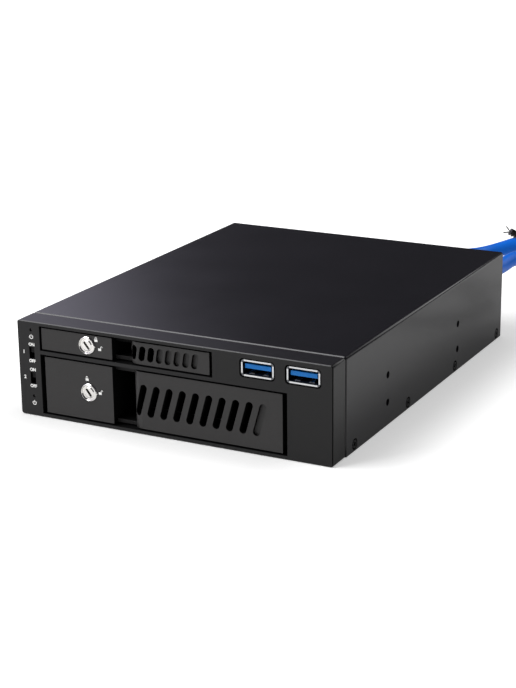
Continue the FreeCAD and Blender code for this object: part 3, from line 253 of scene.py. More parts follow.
def edges_along_y(shape):
    """The edges that run along Y for more than a millimetre."""
    return [edge for edge in shape.edges if abs(edge.verts[0].co.y - edge.verts[1].co.y) > MM]


def rounded_bar(shape, place, bevel):
    """A unit cube put in place by a matrix, with its edges rounded by a bevel in millimetres, if any."""
    verts = bmesh.ops.create_cube(shape, size=1.0, matrix=place)["verts"]
    edges = list({edge for vert in verts for edge in vert.link_edges})
    if bevel:
        bmesh.ops.bevel(shape, geom=edges, offset=bevel * MM, affect="EDGES", segments=EDGE_SEGMENTS,
                        profile=0.5, material=-1)


def rounded_block(shape, low, high, bevel):
    """A box between two corners in millimetres, rounded in the same way."""
    low, high = Vector(low), Vector(high)
    place = Matrix.Translation((low + high) / 2 * MM) @ Matrix.Diagonal((*((high - low) * MM), 1.0))
    rounded_bar(shape, place, bevel)


# %% Where the wire tie sits
TIE_CORNER = 4
TIE_SHARE = 0.33
TWIST_LEAN = math.radians(56)

tie_before, tie_corner, tie_after = (Vector(point) for point in LEFT_ROUTE[TIE_CORNER - 1:TIE_CORNER + 2])
tie_weights = ((1 - TIE_SHARE) ** 2 / 2, 0.5 + TIE_SHARE - TIE_SHARE ** 2, TIE_SHARE ** 2 / 2)
tie_centre = tie_before * tie_weights[0] + tie_corner * tie_weights[1] + tie_after * tie_weights[2]
tie_along = (tie_corner - tie_before).lerp(tie_after - tie_corner, TIE_SHARE).normalized()
tie_side = tie_along.cross(UP).normalized()
tie_up = tie_side.cross(tie_along).normalized()
twist_way = tie_up * math.cos(TWIST_LEAN) - tie_along * math.sin(TWIST_LEAN)
twist_across = tie_side.cross(twist_way)
print("wire tie at", [round(value, 1) for value in tie_centre])

# %% The wire tie on the upper lead
TIE_HALF_WIDTH = 1.2
TIE_GAUGE = 0.8
TIE_PLAY = 0.05
TIE_STEPS = 40
TWIST_HALF_WIDTH = 1.6
TWIST_HALF_GAUGE = 1.1
TWIST_LENGTH = 5.2
TWIST_TURNS = 1.5
TWIST_STEPS = 36
END_HALF_WIDTH = 0.4
END_HALF_GAUGE = 0.22
END_LENGTH = 3.8
END_SPREADS = (math.radians(24), math.radians(-30))
END_BEVEL = 0.1


def twist_tie():
    """The band round the lead, the twist that stands on it, and its two loose ends."""
    shape = bmesh.new()
    inner = LEAD_DIAMETER / 2 + TIE_PLAY
    outline = rectangle(-TIE_HALF_WIDTH, TIE_HALF_WIDTH, inner, inner + TIE_GAUGE)
    ring = closed_loop(shape, [tie_centre + tie_along * across + tie_up * up for across, up in outline])
    bmesh.ops.spin(shape, geom=ring, cent=tie_centre * MM, axis=tie_along, angle=2 * math.pi,
                   steps=TIE_STEPS, use_merge=True)
    foot = tie_centre + tie_up * (inner + TIE_GAUGE / 2)
    outline = rectangle(-TWIST_HALF_WIDTH, TWIST_HALF_WIDTH, -TWIST_HALF_GAUGE, TWIST_HALF_GAUGE)
    loop = closed_loop(shape, [foot + twist_across * across + tie_side * side for across, side in outline])
    bmesh.ops.spin(shape, geom=loop, cent=foot * MM, axis=twist_way,
                   dvec=twist_way * TWIST_LENGTH / TWIST_STEPS * MM,
                   angle=2 * math.pi * TWIST_TURNS, steps=TWIST_STEPS)
    head = foot + twist_way * TWIST_LENGTH
    for spread in END_SPREADS:
        lean = twist_way * math.cos(spread) - twist_across * math.sin(spread)
        turn = lean.to_track_quat("Z", "Y").to_matrix().to_4x4()
        place = Matrix.Translation((head + lean * END_LENGTH / 2) * MM) @ turn
        scale = Matrix.Diagonal((2 * END_HALF_WIDTH * MM, 2 * END_HALF_GAUGE * MM, END_LENGTH * MM, 1.0))
        rounded_bar(shape, place @ scale, END_BEVEL)
    close_ends(shape)
    return shape


wire_tie = add_piece("wire_tie", twist_tie(), "chassis")
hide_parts("lead_tie")
print("wire tie faces", len(wire_tie.data.polygons))

# %% The tie on the coil
COIL_TIE_ANGLE = math.radians(60)
COIL_TIE_HALF_WIDTH = 1.6
COIL_TIE_GAUGE = 0.6
COIL_TIE_CORNER = LEAD_DIAMETER / 3
COIL_TIE_SEGMENTS = 6
SQUARE_ON = 0.9


def coil_tie():
    """A flat band closed round both layers of the coil."""
    shape = bmesh.new()
    inward = left_radius - LEAD_DIAMETER / 2 - COIL_TIE_GAUGE
    outward = right_radius + LEAD_DIAMETER / 2 + COIL_TIE_GAUGE
    height = 2 * LEAD_DIAMETER + COIL_TIE_GAUGE
    rounded_block(shape, (inward, -COIL_TIE_HALF_WIDTH, 0.0), (outward, COIL_TIE_HALF_WIDTH, height), 0.0)
    bmesh.ops.bevel(shape, geom=edges_along_y(shape), offset=COIL_TIE_CORNER * MM, affect="EDGES",
                    segments=COIL_TIE_SEGMENTS, profile=0.5, material=-1)
    ends = [face for face in shape.faces if abs(face.normal.y) > SQUARE_ON]
    bmesh.ops.delete(shape, geom=ends, context="FACES")
    bmesh.ops.recalc_face_normals(shape, faces=shape.faces)
    bmesh.ops.solidify(shape, geom=shape.faces[:], thickness=COIL_TIE_GAUGE * MM)
    centre = Vector((*COIL_CENTRE, 0.0)) * MM
    turn = Matrix.Translation(centre) @ Matrix.Rotation(COIL_TIE_ANGLE, 4, "Z")
    bmesh.ops.transform(shape, matrix=turn, verts=shape.verts)
    return shape


coil_band = add_piece("coil_band", coil_tie(), "chassis")
print("coil band faces", len(coil_band.data.polygons))

# %% The two leads
print("two leads drawn")

# %% [markdown]
# ## Screw heads
#
# Flat-head screws hold the cover at the sides, and pan-head screws hold the rear panel. The solids have the
# heads and shanks; the cross recess is what makes them read as screws. A cone or a cylinder gives the head,
# cuts by planes mark a cross on its end face, and that cross is extruded inwards.

# %% A cross recess
RECESS_HALF_WIDTH = 0.32
RECESS_REACH = 0.62
RECESS_DEPTH = 0.8
SAME_HEIGHT = 1e-6


def faces_at(shape, height):
    """The faces whose middle lies at a height in millimetres."""
    return [face for face in shape.faces if abs(face.calc_center_median().z - height * MM) < SAME_HEIGHT]


def sink_faces(shape, faces, depth):
    """Extrude faces by a depth along -Z and take the old ones away."""
    made = bmesh.ops.extrude_face_region(shape, geom=faces)["geom"]
    moved = [item for item in made if isinstance(item, bmesh.types.BMVert)]
    bmesh.ops.translate(shape, verts=moved, vec=(0, 0, -depth * MM))
    bmesh.ops.delete(shape, geom=faces, context="FACES_ONLY")


def cross_recess(shape, end, radius):
    """Sink a cross into the end face of a screw that lies along +Z, its head up at height end."""
    half = RECESS_HALF_WIDTH * MM
    reach = radius * RECESS_REACH * MM
    for direction in (Vector((1, 0, 0)), Vector((0, 1, 0))):
        for offset in (-reach, -half, half, reach):
            parts = {part for face in faces_at(shape, end) for part in (face, *face.edges, *face.verts)}
            bmesh.ops.bisect_plane(shape, geom=list(parts), plane_co=direction * offset, plane_no=direction)
    cross = []
    for face in faces_at(shape, end):
        middle = face.calc_center_median()
        near, far = sorted((abs(middle.x), abs(middle.y)))
        if near < half and far < reach:
            cross.append(face)
    sink_faces(shape, cross, RECESS_DEPTH)


# %% Screws of both kinds
SCREW_SIDES = 28
PAN_ROUND = 0.7
PAN_SEGMENTS = 4


def flat_screw(place, head, shank, reach):
    """A countersunk screw whose head face lies at the origin of place and whose shank runs along -Z."""
    shape = bmesh.new()
    cone = head - shank
    bmesh.ops.create_cone(shape, cap_ends=True, segments=SCREW_SIDES, radius1=shank * MM, radius2=head * MM,
                          depth=cone * MM, matrix=Matrix.Translation((0, 0, -cone / 2 * MM)))
    foot = min(shape.faces, key=lambda face: face.calc_center_median().z)
    sink_faces(shape, [foot], reach - cone)
    cross_recess(shape, 0.0, head)
    bmesh.ops.transform(shape, matrix=place, verts=shape.verts)
    return shape


def pan_screw(place, head, rise):
    """A pan-head screw whose seat lies at the origin of place and whose head stands along +Z."""
    shape = bmesh.new()
    bmesh.ops.create_cone(shape, cap_ends=True, segments=SCREW_SIDES, radius1=head * MM, radius2=head * MM,
                          depth=rise * MM, matrix=Matrix.Translation((0, 0, rise / 2 * MM)))
    rim = [edge for edge in shape.edges
           if all(abs(vert.co.z - rise * MM) < SAME_HEIGHT for vert in edge.verts)]
    bmesh.ops.bevel(shape, geom=rim, offset=rise * PAN_ROUND * MM, affect="EDGES", segments=PAN_SEGMENTS,
                    profile=0.5, material=-1)
    cross_recess(shape, rise, head)
    bmesh.ops.transform(shape, matrix=place, verts=shape.verts)
    return shape


# %% Cover screws along both sides
SCREW_HEAD = 1.75
SCREW_SHANK = 1.35
SCREW_REACH = 4.0
SCREWS_A_SIDE = 4
FIRST_TURN, NEXT_TURN = 0.4, 0.7


def corners_of(node):
    """The lowest and the highest corner of a node, in millimetres."""
    return [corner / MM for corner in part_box(node)]


screws_low, screws_high = corners_of("cover_screws")
screw_height = (screws_low.z + screws_high.z) / 2
first_row = screws_low.y + SCREW_HEAD
row_span = screws_high.y - screws_low.y - 2 * SCREW_HEAD
screw_rows = [first_row + row_span * step / (SCREWS_A_SIDE - 1) for step in range(SCREWS_A_SIDE)]
screws = []
for index, along in enumerate(screw_rows):
    spin = Matrix.Rotation(FIRST_TURN + NEXT_TURN * index, 4, "Z")
    for skin, way in ((screws_high.x, 1), (screws_low.x, -1)):
        turn = Matrix.Rotation(way * math.pi / 2, 4, "Y") @ spin
        screws.append(flat_screw(Matrix.Translation(Vector((skin, along, screw_height)) * MM) @ turn,
                                 SCREW_HEAD, SCREW_SHANK, SCREW_REACH))
cover_screw_set = add_piece("cover_screw_set", joined(screws), "chassis")
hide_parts("cover_screws")
print("cover screws", len(screws))

# %% Rear screws
REAR_HEAD = 2.6
REAR_RISE = 1.4
REAR_SEAT = corners_of("rear_screws")[0].y
REAR_PLACES = [(-66.0, 7.0), (-66.0, 13.5), (66.0, 7.0), (66.0, 13.5), (-57.0, 20.5), (24.0, 20.5)]
REAR_FIRST_TURN, REAR_NEXT_TURN = 0.3, 0.9
screws = []
for index, (across, height) in enumerate(REAR_PLACES):
    spin = Matrix.Rotation(REAR_FIRST_TURN + REAR_NEXT_TURN * index, 4, "Z")
    turn = Matrix.Rotation(-math.pi / 2, 4, "X") @ spin
    seat = Matrix.Translation(Vector((across, REAR_SEAT, height)) * MM)
    screws.append(pan_screw(seat @ turn, REAR_HEAD, REAR_RISE))
rear_screw_set = add_piece("rear_screw_set", joined(screws), "chassis")
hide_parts("rear_screws")
print("rear screws", len(screws))

# %% [markdown]
# ## Contacts and springs in the ports
#
# Inside each front port, stamped spring fingers of the shell grip the plug and gold contacts lie under the
# tongue. At the back, each shrouded plug has a row of gold contacts on its blade. They are rows of one small
# strip, so loops place a rounded block again and again. Small rounded corners, a quarter turn of an outline
# each, close the bright lip round each port.

# %% Where the front ports are
def middle_of(node):
    """The middle of a node's box, in millimetres."""
    low, high = corners_of(node)
    return (low + high) / 2


FRONT = corners_of("front_bezel")[0].y
PORT_CENTRES = {name: middle_of(f"usb_shell_{name}").x for name in ("left", "right")}
PORT_HEIGHT = middle_of("usb_shell_left").z
print("ports at", [round(centre, 1) for centre in PORT_CENTRES.values()], "mm")

# %% One spring finger
WALL_INSIDE = 2.5
SPRING_ACROSS = (-3.0, 3.0)
SPRING_HALF_WIDTH = 1.1
SPRING_FRONT, SPRING_BACK = 1.6, 7.5
SPRING_GAUGE = 0.25
SPRING_BOW = 0.55
SPRING_CUTS = 9


def spring(centre, across, side):
    """One bowed finger on the port's upper or lower wall."""
    shape = bmesh.new()
    wall = PORT_HEIGHT + side * WALL_INSIDE
    low, high = sorted((wall, wall - side * SPRING_GAUGE))
    rounded_block(shape, (centre + across - SPRING_HALF_WIDTH, FRONT + SPRING_FRONT, low),
                  (centre + across + SPRING_HALF_WIDTH, FRONT + SPRING_BACK, high), 0.0)
    bmesh.ops.subdivide_edges(shape, edges=edges_along_y(shape), cuts=SPRING_CUTS, use_grid_fill=True)
    span = SPRING_BACK - SPRING_FRONT
    for vert in shape.verts:
        share = (vert.co.y / MM - FRONT - SPRING_FRONT) / span
        vert.co.z -= side * SPRING_BOW * math.sin(math.pi * share) * MM
    return shape


# %% One contact and one corner of a lip
STRIP_BEVEL = 0.04
PIN_ACROSS = (-3.5, -1.0, 1.0, 3.5)
PIN_HALF_WIDTH = 0.5
PIN_FRONT, PIN_BACK = 2.4, 9.5
PIN_GAUGE = 0.12
TONGUE_UNDER = -0.3
LIP_CORNER_ACROSS, LIP_CORNER_UP = 5.95, 2.2
LIP_INNER, LIP_OUTER = 0.5, 1.15
LIP_FRONT, LIP_BACK = 0.3, 0.9
LIP_STEPS = 6


def pin(centre, across):
    """One gold strip under the tongue."""
    shape = bmesh.new()
    top = PORT_HEIGHT + TONGUE_UNDER
    rounded_block(shape, (centre + across - PIN_HALF_WIDTH, FRONT + PIN_FRONT, top - PIN_GAUGE),
                  (centre + across + PIN_HALF_WIDTH, FRONT + PIN_BACK, top), STRIP_BEVEL)
    return shape


def lip_corner(centre, side, end):
    """A quarter ring between two flaps of a port's lip."""
    shape = bmesh.new()
    pivot = Vector((centre + side * LIP_CORNER_ACROSS, 0.0, PORT_HEIGHT + end * LIP_CORNER_UP))
    outline = [pivot + Vector((side * reach, FRONT + depth, 0))
               for reach, depth in rectangle(LIP_INNER, LIP_OUTER, LIP_FRONT, LIP_BACK)]
    bmesh.ops.spin(shape, geom=closed_loop(shape, outline), cent=pivot * MM, axis=(0, -side * end, 0),
                   angle=math.pi / 2, steps=LIP_STEPS)
    close_ends(shape)
    return shape


# %% Fill both front ports
springs, pins, lips = [], [], []
for name, centre in PORT_CENTRES.items():
    corners = [lip_corner(centre, side, end) for side in (1, -1) for end in (1, -1)]
    lips.append(add_piece(f"port_lip_{name}", joined(corners), "chassis"))
    fingers = [spring(centre, across, side) for across in SPRING_ACROSS for side in (1, -1)]
    springs.append(add_piece(f"port_springs_{name}", joined(fingers), "chassis"))
    contacts = [pin(centre, across) for across in PIN_ACROSS]
    pins.append(add_piece(f"port_pins_{name}", joined(contacts), "chassis"))
print("port lips", len(lips), "spring sets", len(springs), "and pin rows", len(pins))

# %% Rear contact rows
REAR_PIN_PITCH = 1.27
REAR_PIN_HALF = 0.42
REAR_PIN_LENGTH = 5.2
BLADE_HALF = 0.6
BLADE_SETBACK = 1.2
BLADE_TIP = 0.3
REAR_ROWS = {"upper_data_port": 7, "lower_data_port": 7, "power_inlet": 15}


def rear_row(node, count):
    """Gold strips side by side on top of a rear plug's blade."""
    middle = middle_of(node)
    back = corners_of(node)[1].y - BLADE_SETBACK - BLADE_TIP
    shapes = []
    for index in range(count):
        across = middle.x + (index - (count - 1) / 2) * REAR_PIN_PITCH
        shape = bmesh.new()
        rounded_block(shape, (across - REAR_PIN_HALF, back - REAR_PIN_LENGTH, middle.z + BLADE_HALF),
                      (across + REAR_PIN_HALF, back, middle.z + BLADE_HALF + PIN_GAUGE), STRIP_BEVEL)
        shapes.append(shape)
    return joined(shapes)


rear_rows = [add_piece(f"{node}_pins", rear_row(node, count), "chassis")
             for node, count in REAR_ROWS.items()]
print("rear contact rows", len(rear_rows))

# %% [markdown]
# ## Printed marks
#
# White print on the front says which way each switch goes and which way each key turns. Text starts as a text
# object, becomes a mesh at once, and is then stood up and moved to the face by a matrix on its vertices. The
# padlocks are a small block with half a ring spun above it. Plain numbers name the switches, and a plain
# power sign marks each lamp.

# %% Words
PRINT_LIFT = 0.02
PRINT_GAUGE = 0.02
PRINT_BOLD = 0.08
CAP_SHARE = 0.69
LETTER_STEPS = 4
UPRIGHT = Matrix.Rotation(math.pi / 2, 4, "X")


def printed_text(words, across, height, cap):
    """A flat mesh of words, centred at a place on the front, with capitals of that height."""
    curve = bpy.data.curves.new("words", "FONT")
    curve.body = words
    curve.align_x = "CENTER"
    curve.align_y = "CENTER"
    curve.size = cap / CAP_SHARE * MM
    curve.extrude = PRINT_GAUGE / 2 * MM
    curve.offset = PRINT_BOLD * MM
    curve.resolution_u = LETTER_STEPS
    writer = bpy.data.objects.new("words", curve)
    scene.collection.objects.link(writer)
    bpy.context.view_layer.update()
    mesh = bpy.data.meshes.new_from_object(writer.evaluated_get(bpy.context.evaluated_depsgraph_get()))
    bpy.data.objects.remove(writer)
    shape = bmesh.new()
    shape.from_mesh(mesh)
    bpy.data.meshes.remove(mesh)
    place = Matrix.Translation(Vector((across, 0.0, height)) * MM) @ UPRIGHT
    bmesh.ops.transform(shape, matrix=place, verts=shape.verts)
    return shape


# %% Signs
LOCK_HALF_WIDTH = 0.72
LOCK_DROP = 0.95
LOCK_RISE = 0.05
BOW_HALF_WIDTH = LOCK_HALF_WIDTH * 0.72
BOW_SHIFT = LOCK_HALF_WIDTH * 1.25
BOW_STROKE = 0.26
BOW_STEPS = 14
LEG_HEIGHT = 0.45


def flat_ring(across, height, inner, outer, start, sweep, steps):
    """Part of a printed ring, from an angle and through a sweep, seen from the front."""
    shape = bmesh.new()
    centre = Vector((across, 0.0, height))
    ray = Vector((math.cos(start), 0.0, math.sin(start)))
    outline = [centre + ray * radius + Vector((0, depth, 0))
               for radius, depth in rectangle(inner, outer, -PRINT_GAUGE / 2, PRINT_GAUGE / 2)]
    bmesh.ops.spin(shape, geom=closed_loop(shape, outline), cent=centre * MM, axis=(0, -1, 0), angle=sweep,
                   steps=steps)
    close_ends(shape)
    return shape


def flat_bar(left, right, low, high):
    """A printed rectangle."""
    shape = bmesh.new()
    rounded_block(shape, (left, -PRINT_GAUGE / 2, low), (right, PRINT_GAUGE / 2, high), 0.0)
    return shape


def padlock(across, height, opened):
    """A padlock sign: a block with a shackle, shifted to one side where it is open."""
    shackle = across + (BOW_SHIFT if opened else 0.0)
    left, right = shackle - BOW_HALF_WIDTH, shackle + BOW_HALF_WIDTH
    foot = height + LOCK_RISE
    top = foot + LEG_HEIGHT
    shapes = [flat_bar(across - LOCK_HALF_WIDTH, across + LOCK_HALF_WIDTH, height - LOCK_DROP, foot),
              flat_ring(shackle, top, BOW_HALF_WIDTH - BOW_STROKE, BOW_HALF_WIDTH, 0.0, math.pi, BOW_STEPS),
              flat_bar(left, left + BOW_STROKE, foot, top)]
    if not opened:
        shapes.append(flat_bar(right - BOW_STROKE, right, foot, top))
    return shapes


def print_piece(name, shapes, face, body):
    """Marks laid on a front face as one piece."""
    whole = joined(shapes)
    bmesh.ops.translate(whole, verts=whole.verts, vec=(0, (face - PRINT_LIFT) * MM, 0))
    return add_piece(name, whole, body)


# %% Marks on the strip
BAYS = ("upper", "lower")
STRIP_ACROSS = middle_of("upper_switch_housing").x
SWITCH_HEIGHTS = [middle_of(f"{bay}_switch_housing").z for bay in BAYS]
WORD_GAP = 3.6
WORD_CAP = 1.25
NUMBER_ACROSS = STRIP_ACROSS - 4.0
NUMBER_CAP = 1.4
LAMP_HEIGHTS = (37.6, 8.6)
SIGN_DROP = 3.0
SIGN_INNER, SIGN_OUTER = 0.62, 0.95
SIGN_START, SIGN_SWEEP = math.radians(125), math.radians(290)
SIGN_STEPS = 24
STEM_HALF_WIDTH = 0.16
STEM_LOW, STEM_HIGH = 0.1, 1.15
stem_left, stem_right = STRIP_ACROSS - STEM_HALF_WIDTH, STRIP_ACROSS + STEM_HALF_WIDTH

strip_shapes = []
for index, height in enumerate(SWITCH_HEIGHTS):
    strip_shapes.append(printed_text("ON", STRIP_ACROSS, height + WORD_GAP, WORD_CAP))
    strip_shapes.append(printed_text("OFF", STRIP_ACROSS, height - WORD_GAP, WORD_CAP))
    strip_shapes.append(printed_text(str(index + 1), NUMBER_ACROSS, height, NUMBER_CAP))
for height in LAMP_HEIGHTS:
    sign = height - SIGN_DROP
    strip_shapes.append(
        flat_ring(STRIP_ACROSS, sign, SIGN_INNER, SIGN_OUTER, SIGN_START, SIGN_SWEEP, SIGN_STEPS))
    strip_shapes.append(flat_bar(stem_left, stem_right, sign + STEM_LOW, sign + STEM_HIGH))
prints = [print_piece("strip_print", strip_shapes, FRONT, "chassis")]
print("strip print faces", len(prints[0].data.polygons))

# %% Marks on the trays
TRAY_FRONT = corners_of("upper_tray_front")[0].y
SHUT_PLACES = {"upper": (-34.0, 37.4), "lower": (-39.1, 20.0)}
OPEN_PLACES = {"upper": (-32.4, 33.8), "lower": (-33.0, 14.8)}

for bay in BAYS:
    signs = padlock(*SHUT_PLACES[bay], False) + padlock(*OPEN_PLACES[bay], True)
    prints.append(print_piece(f"{bay}_tray_print", signs, TRAY_FRONT, f"{bay}_tray"))
print("printed marks", [piece.name for piece in prints])

# %% [markdown]
# ## Finishes
#
# No surface of the rack is one flat colour. Moulded plastic has a fine spark-eroded grain, the cover has the
# pebbled skin of powder coat, and plated metal shows polishing lines. These effects are shared, so each is
# built once as a node group that gives a colour, a roughness and a height, and each material places the
# group with its own values. Patterns read Object coordinates, which are metres here.

# %% Helpers for node trees
def feed(tree, wanted, socket):
    """Link a socket to an input, or set the input to a value."""
    if isinstance(wanted, bpy.types.NodeSocket):
        tree.links.new(wanted, socket)
    else:
        socket.default_value = wanted


def map_range(tree, value, low, high):
    """A Map Range node that takes 0..1 to low..high, each of them a socket or a number."""
    node = tree.nodes.new("ShaderNodeMapRange")
    for label, wanted in (("Value", value), ("To Min", low), ("To Max", high)):
        feed(tree, wanted, node.inputs[label])
    return node


def math_step(tree, operation, *terms):
    """The result of a Math node, each of its terms a socket or a number."""
    node = tree.nodes.new("ShaderNodeMath")
    node.operation = operation
    for term, socket in zip(terms, node.inputs):
        feed(tree, term, socket)
    return node.outputs[0]


def vector_step(tree, operation, *terms):
    """A Vector Math node, each of its terms a socket or a vector."""
    node = tree.nodes.new("ShaderNodeVectorMath")
    node.operation = operation
    for term, socket in zip(terms, node.inputs):
        feed(tree, term, socket)
    return node


def noise(tree, place, scale, detail):
    """The value of a Noise texture."""
    node = tree.nodes.new("ShaderNodeTexNoise")
    for label, wanted in (("Vector", place), ("Scale", scale), ("Detail", detail)):
        feed(tree, wanted, node.inputs[label])
    return node.outputs["Fac"]


# %% What the node groups share
GROUP_OUTPUTS = {"Color": "NodeSocketColor", "Roughness": "NodeSocketFloat", "Height": "NodeSocketFloat"}


def new_group(name, inputs):
    """A node group with these inputs, which gives a colour, a roughness and a height."""
    group = bpy.data.node_groups.new(name, "ShaderNodeTree")
    for label, kind, default in inputs:
        socket = group.interface.new_socket(label, in_out="INPUT", socket_type=kind)
        socket.default_value = default
    for label, kind in GROUP_OUTPUTS.items():
        group.interface.new_socket(label, in_out="OUTPUT", socket_type=kind)
    return group, group.nodes.new("NodeGroupInput"), group.nodes.new("NodeGroupOutput")


def put_out(group, start, end, share, height):
    """Mix a group's two colours and two roughnesses by a share, and give them out with a height."""
    mix = group.nodes.new("ShaderNodeMix")
    mix.data_type = "RGBA"
    group.links.new(share, mix.inputs["Factor"])
    group.links.new(start.outputs["Dark"], mix.inputs["A"])
    group.links.new(start.outputs["Light"], mix.inputs["B"])
    rough = map_range(group, share, start.outputs["Smooth"], start.outputs["Rough"])
    group.links.new(mix.outputs["Result"], end.inputs["Color"])
    group.links.new(rough.outputs["Result"], end.inputs["Roughness"])
    group.links.new(height, end.inputs["Height"])


# %% The two node groups
FINE_DETAIL, PATCH_DETAIL, LINE_DETAIL = 2.0, 5.0, 3.0
GRAIN_WEIGHT, PATCH_WEIGHT = 0.4, 0.6


def grain_group():
    """A fine even grain with broad soft patches, for moulded plastic, rubber and satin paint."""
    group, start, end = new_group(
        "moulded_grain",
        [("Dark", "NodeSocketColor", (0, 0, 0, 1)), ("Light", "NodeSocketColor", (1, 1, 1, 1)),
         ("Grain", "NodeSocketFloat", 2500.0), ("Patch", "NodeSocketFloat", 30.0),
         ("Smooth", "NodeSocketFloat", 0.4), ("Rough", "NodeSocketFloat", 0.6)],
    )
    place = group.nodes.new("ShaderNodeTexCoord").outputs["Object"]
    fine = noise(group, place, start.outputs["Grain"], FINE_DETAIL)
    patch = noise(group, place, start.outputs["Patch"], PATCH_DETAIL)
    soft = math_step(group, "MULTIPLY", patch, PATCH_WEIGHT)
    put_out(group, start, end, math_step(group, "MULTIPLY_ADD", fine, GRAIN_WEIGHT, soft), fine)
    return group


def brushed_group():
    """Fine lines along one direction, for turned, rolled or polished metal."""
    group, start, end = new_group(
        "brushed_lines",
        [("Dark", "NodeSocketColor", (0.5, 0.5, 0.5, 1)), ("Light", "NodeSocketColor", (0.8, 0.8, 0.8, 1)),
         ("Stretch", "NodeSocketVector", (400.0, 8000.0, 8000.0)),
         ("Smooth", "NodeSocketFloat", 0.15), ("Rough", "NodeSocketFloat", 0.35)],
    )
    place = group.nodes.new("ShaderNodeTexCoord").outputs["Object"]
    stretched = vector_step(group, "MULTIPLY", place, start.outputs["Stretch"])
    lines = noise(group, stretched.outputs["Vector"], 1.0, LINE_DETAIL)
    put_out(group, start, end, lines, lines)
    return group


moulded_grain = grain_group()
brushed_lines = brushed_group()
print("node groups", len(bpy.data.node_groups))

# %% Helpers for materials
def linear(red, green, blue):
    """A colour written as it looks on screen, 0 to 255, as the linear colour that shaders use."""
    shown = Color([value / 255 for value in (red, green, blue)])
    return (*shown.from_srgb_to_scene_linear(), 1.0)


def finish(name, group, values, bump, depth, **shader_values):
    """A material with one of the groups above feeding colour, roughness and bump."""
    material = bpy.data.materials.new(name)
    material.use_nodes = True
    tree = material.node_tree
    shader = tree.nodes["Principled BSDF"]
    for label, value in shader_values.items():
        shader.inputs[label.replace("_", " ")].default_value = value
    effect = tree.nodes.new("ShaderNodeGroup")
    effect.node_tree = group
    for label, value in values.items():
        effect.inputs[label].default_value = value
    relief = tree.nodes.new("ShaderNodeBump")
    relief.inputs["Strength"].default_value = bump
    relief.inputs["Distance"].default_value = depth * MM
    tree.links.new(effect.outputs["Color"], shader.inputs["Base Color"])
    tree.links.new(effect.outputs["Roughness"], shader.inputs["Roughness"])
    tree.links.new(effect.outputs["Height"], relief.inputs["Height"])
    tree.links.new(relief.outputs["Normal"], shader.inputs["Normal"])
    return material


def moulded(name, dark, light, grain, smooth, rough, bump=0.25, depth=0.03, patch=30.0, **shader_values):
    """A grained finish between two colours as they look on screen, and two roughnesses."""
    values = {"Dark": linear(*dark), "Light": linear(*light), "Grain": grain, "Patch": patch,
              "Smooth": smooth, "Rough": rough}
    return finish(name, moulded_grain, values, bump, depth, **shader_values)


def metal(name, dark, light, stretch, smooth, rough, bump=0.1, depth=0.01):
    """A brushed finish between two colours as they look on screen, and two roughnesses."""
    values = {"Dark": linear(*dark), "Light": linear(*light), "Stretch": stretch, "Smooth": smooth,
              "Rough": rough}
    return finish(name, brushed_lines, values, bump, depth, Metallic=1.0)


# %% One finish for each slot of the record
FINE = 2600.0
PEBBLED = 1800.0
SATIN = 1600.0
RUBBERY = 1500.0
SOFT = 1200.0
BROAD = 900.0
ROLLED = (300.0, 9000.0, 9000.0)
TURNED = (5000.0, 400.0, 5000.0)
finishes = {
    "bezel_black": moulded("bezel_plastic", (14, 14, 15), (23, 22, 23), FINE, 0.24, 0.36,
                           Specular_IOR_Level=0.34),
    "cover_black": moulded("cover_powder", (14, 14, 16), (26, 25, 29), PEBBLED, 0.16, 0.27,
                           Specular_IOR_Level=0.42),
    "rail_steel": moulded("rail_paint", (36, 36, 37), (50, 50, 51), SATIN, 0.4, 0.55,
                          Specular_IOR_Level=0.3),
    "lock_nickel": metal("lock_nickel", (228, 226, 222), (252, 250, 247), TURNED, 0.08, 0.22),
    "plain_steel": metal("plain_steel", (150, 150, 149), (196, 196, 195), ROLLED, 0.25, 0.42),
    "bush_brass": metal("contact_gold", (196, 158, 84), (228, 196, 120), ROLLED, 0.18, 0.32),
    "port_chrome": metal("port_chrome", (206, 207, 209), (236, 237, 239), ROLLED, 0.08, 0.2),
    "port_blue": moulded("port_blue", (6, 100, 178), (18, 120, 200), PEBBLED, 0.3, 0.45, bump=0.1,
                         Specular_IOR_Level=0.3),
    "guide_plastic": moulded("guide_plastic", (14, 14, 15), (24, 24, 25), FINE, 0.5, 0.7),
    "socket_black": moulded("socket_plastic", (14, 14, 15), (26, 26, 27), FINE, 0.45, 0.65),
    "slider_black": moulded("slider_plastic", (6, 6, 6), (12, 12, 12), FINE, 0.4, 0.6,
                            Specular_IOR_Level=0.2),
    "board_green": moulded("board_mask", (10, 42, 25), (18, 62, 37), BROAD, 0.25, 0.4, bump=0.15),
    "pipe_clear": moulded("lamp_pipe", (10, 11, 10), (18, 19, 18), BROAD, 0.08, 0.18, bump=0.05),
    "lead_blue": moulded("lead_jacket", (8, 102, 226), (20, 130, 250), SOFT, 0.3, 0.44, bump=0.15,
                         patch=60.0, Specular_IOR_Level=0.14),
    "grommet_rubber": moulded("grommet_rubber", (20, 20, 20), (32, 32, 32), RUBBERY, 0.6, 0.8),
    "tie_black": moulded("tie_plastic", (12, 12, 12), (24, 24, 24), RUBBERY, 0.25, 0.4),
}
print("slots with a finish", len(finishes))

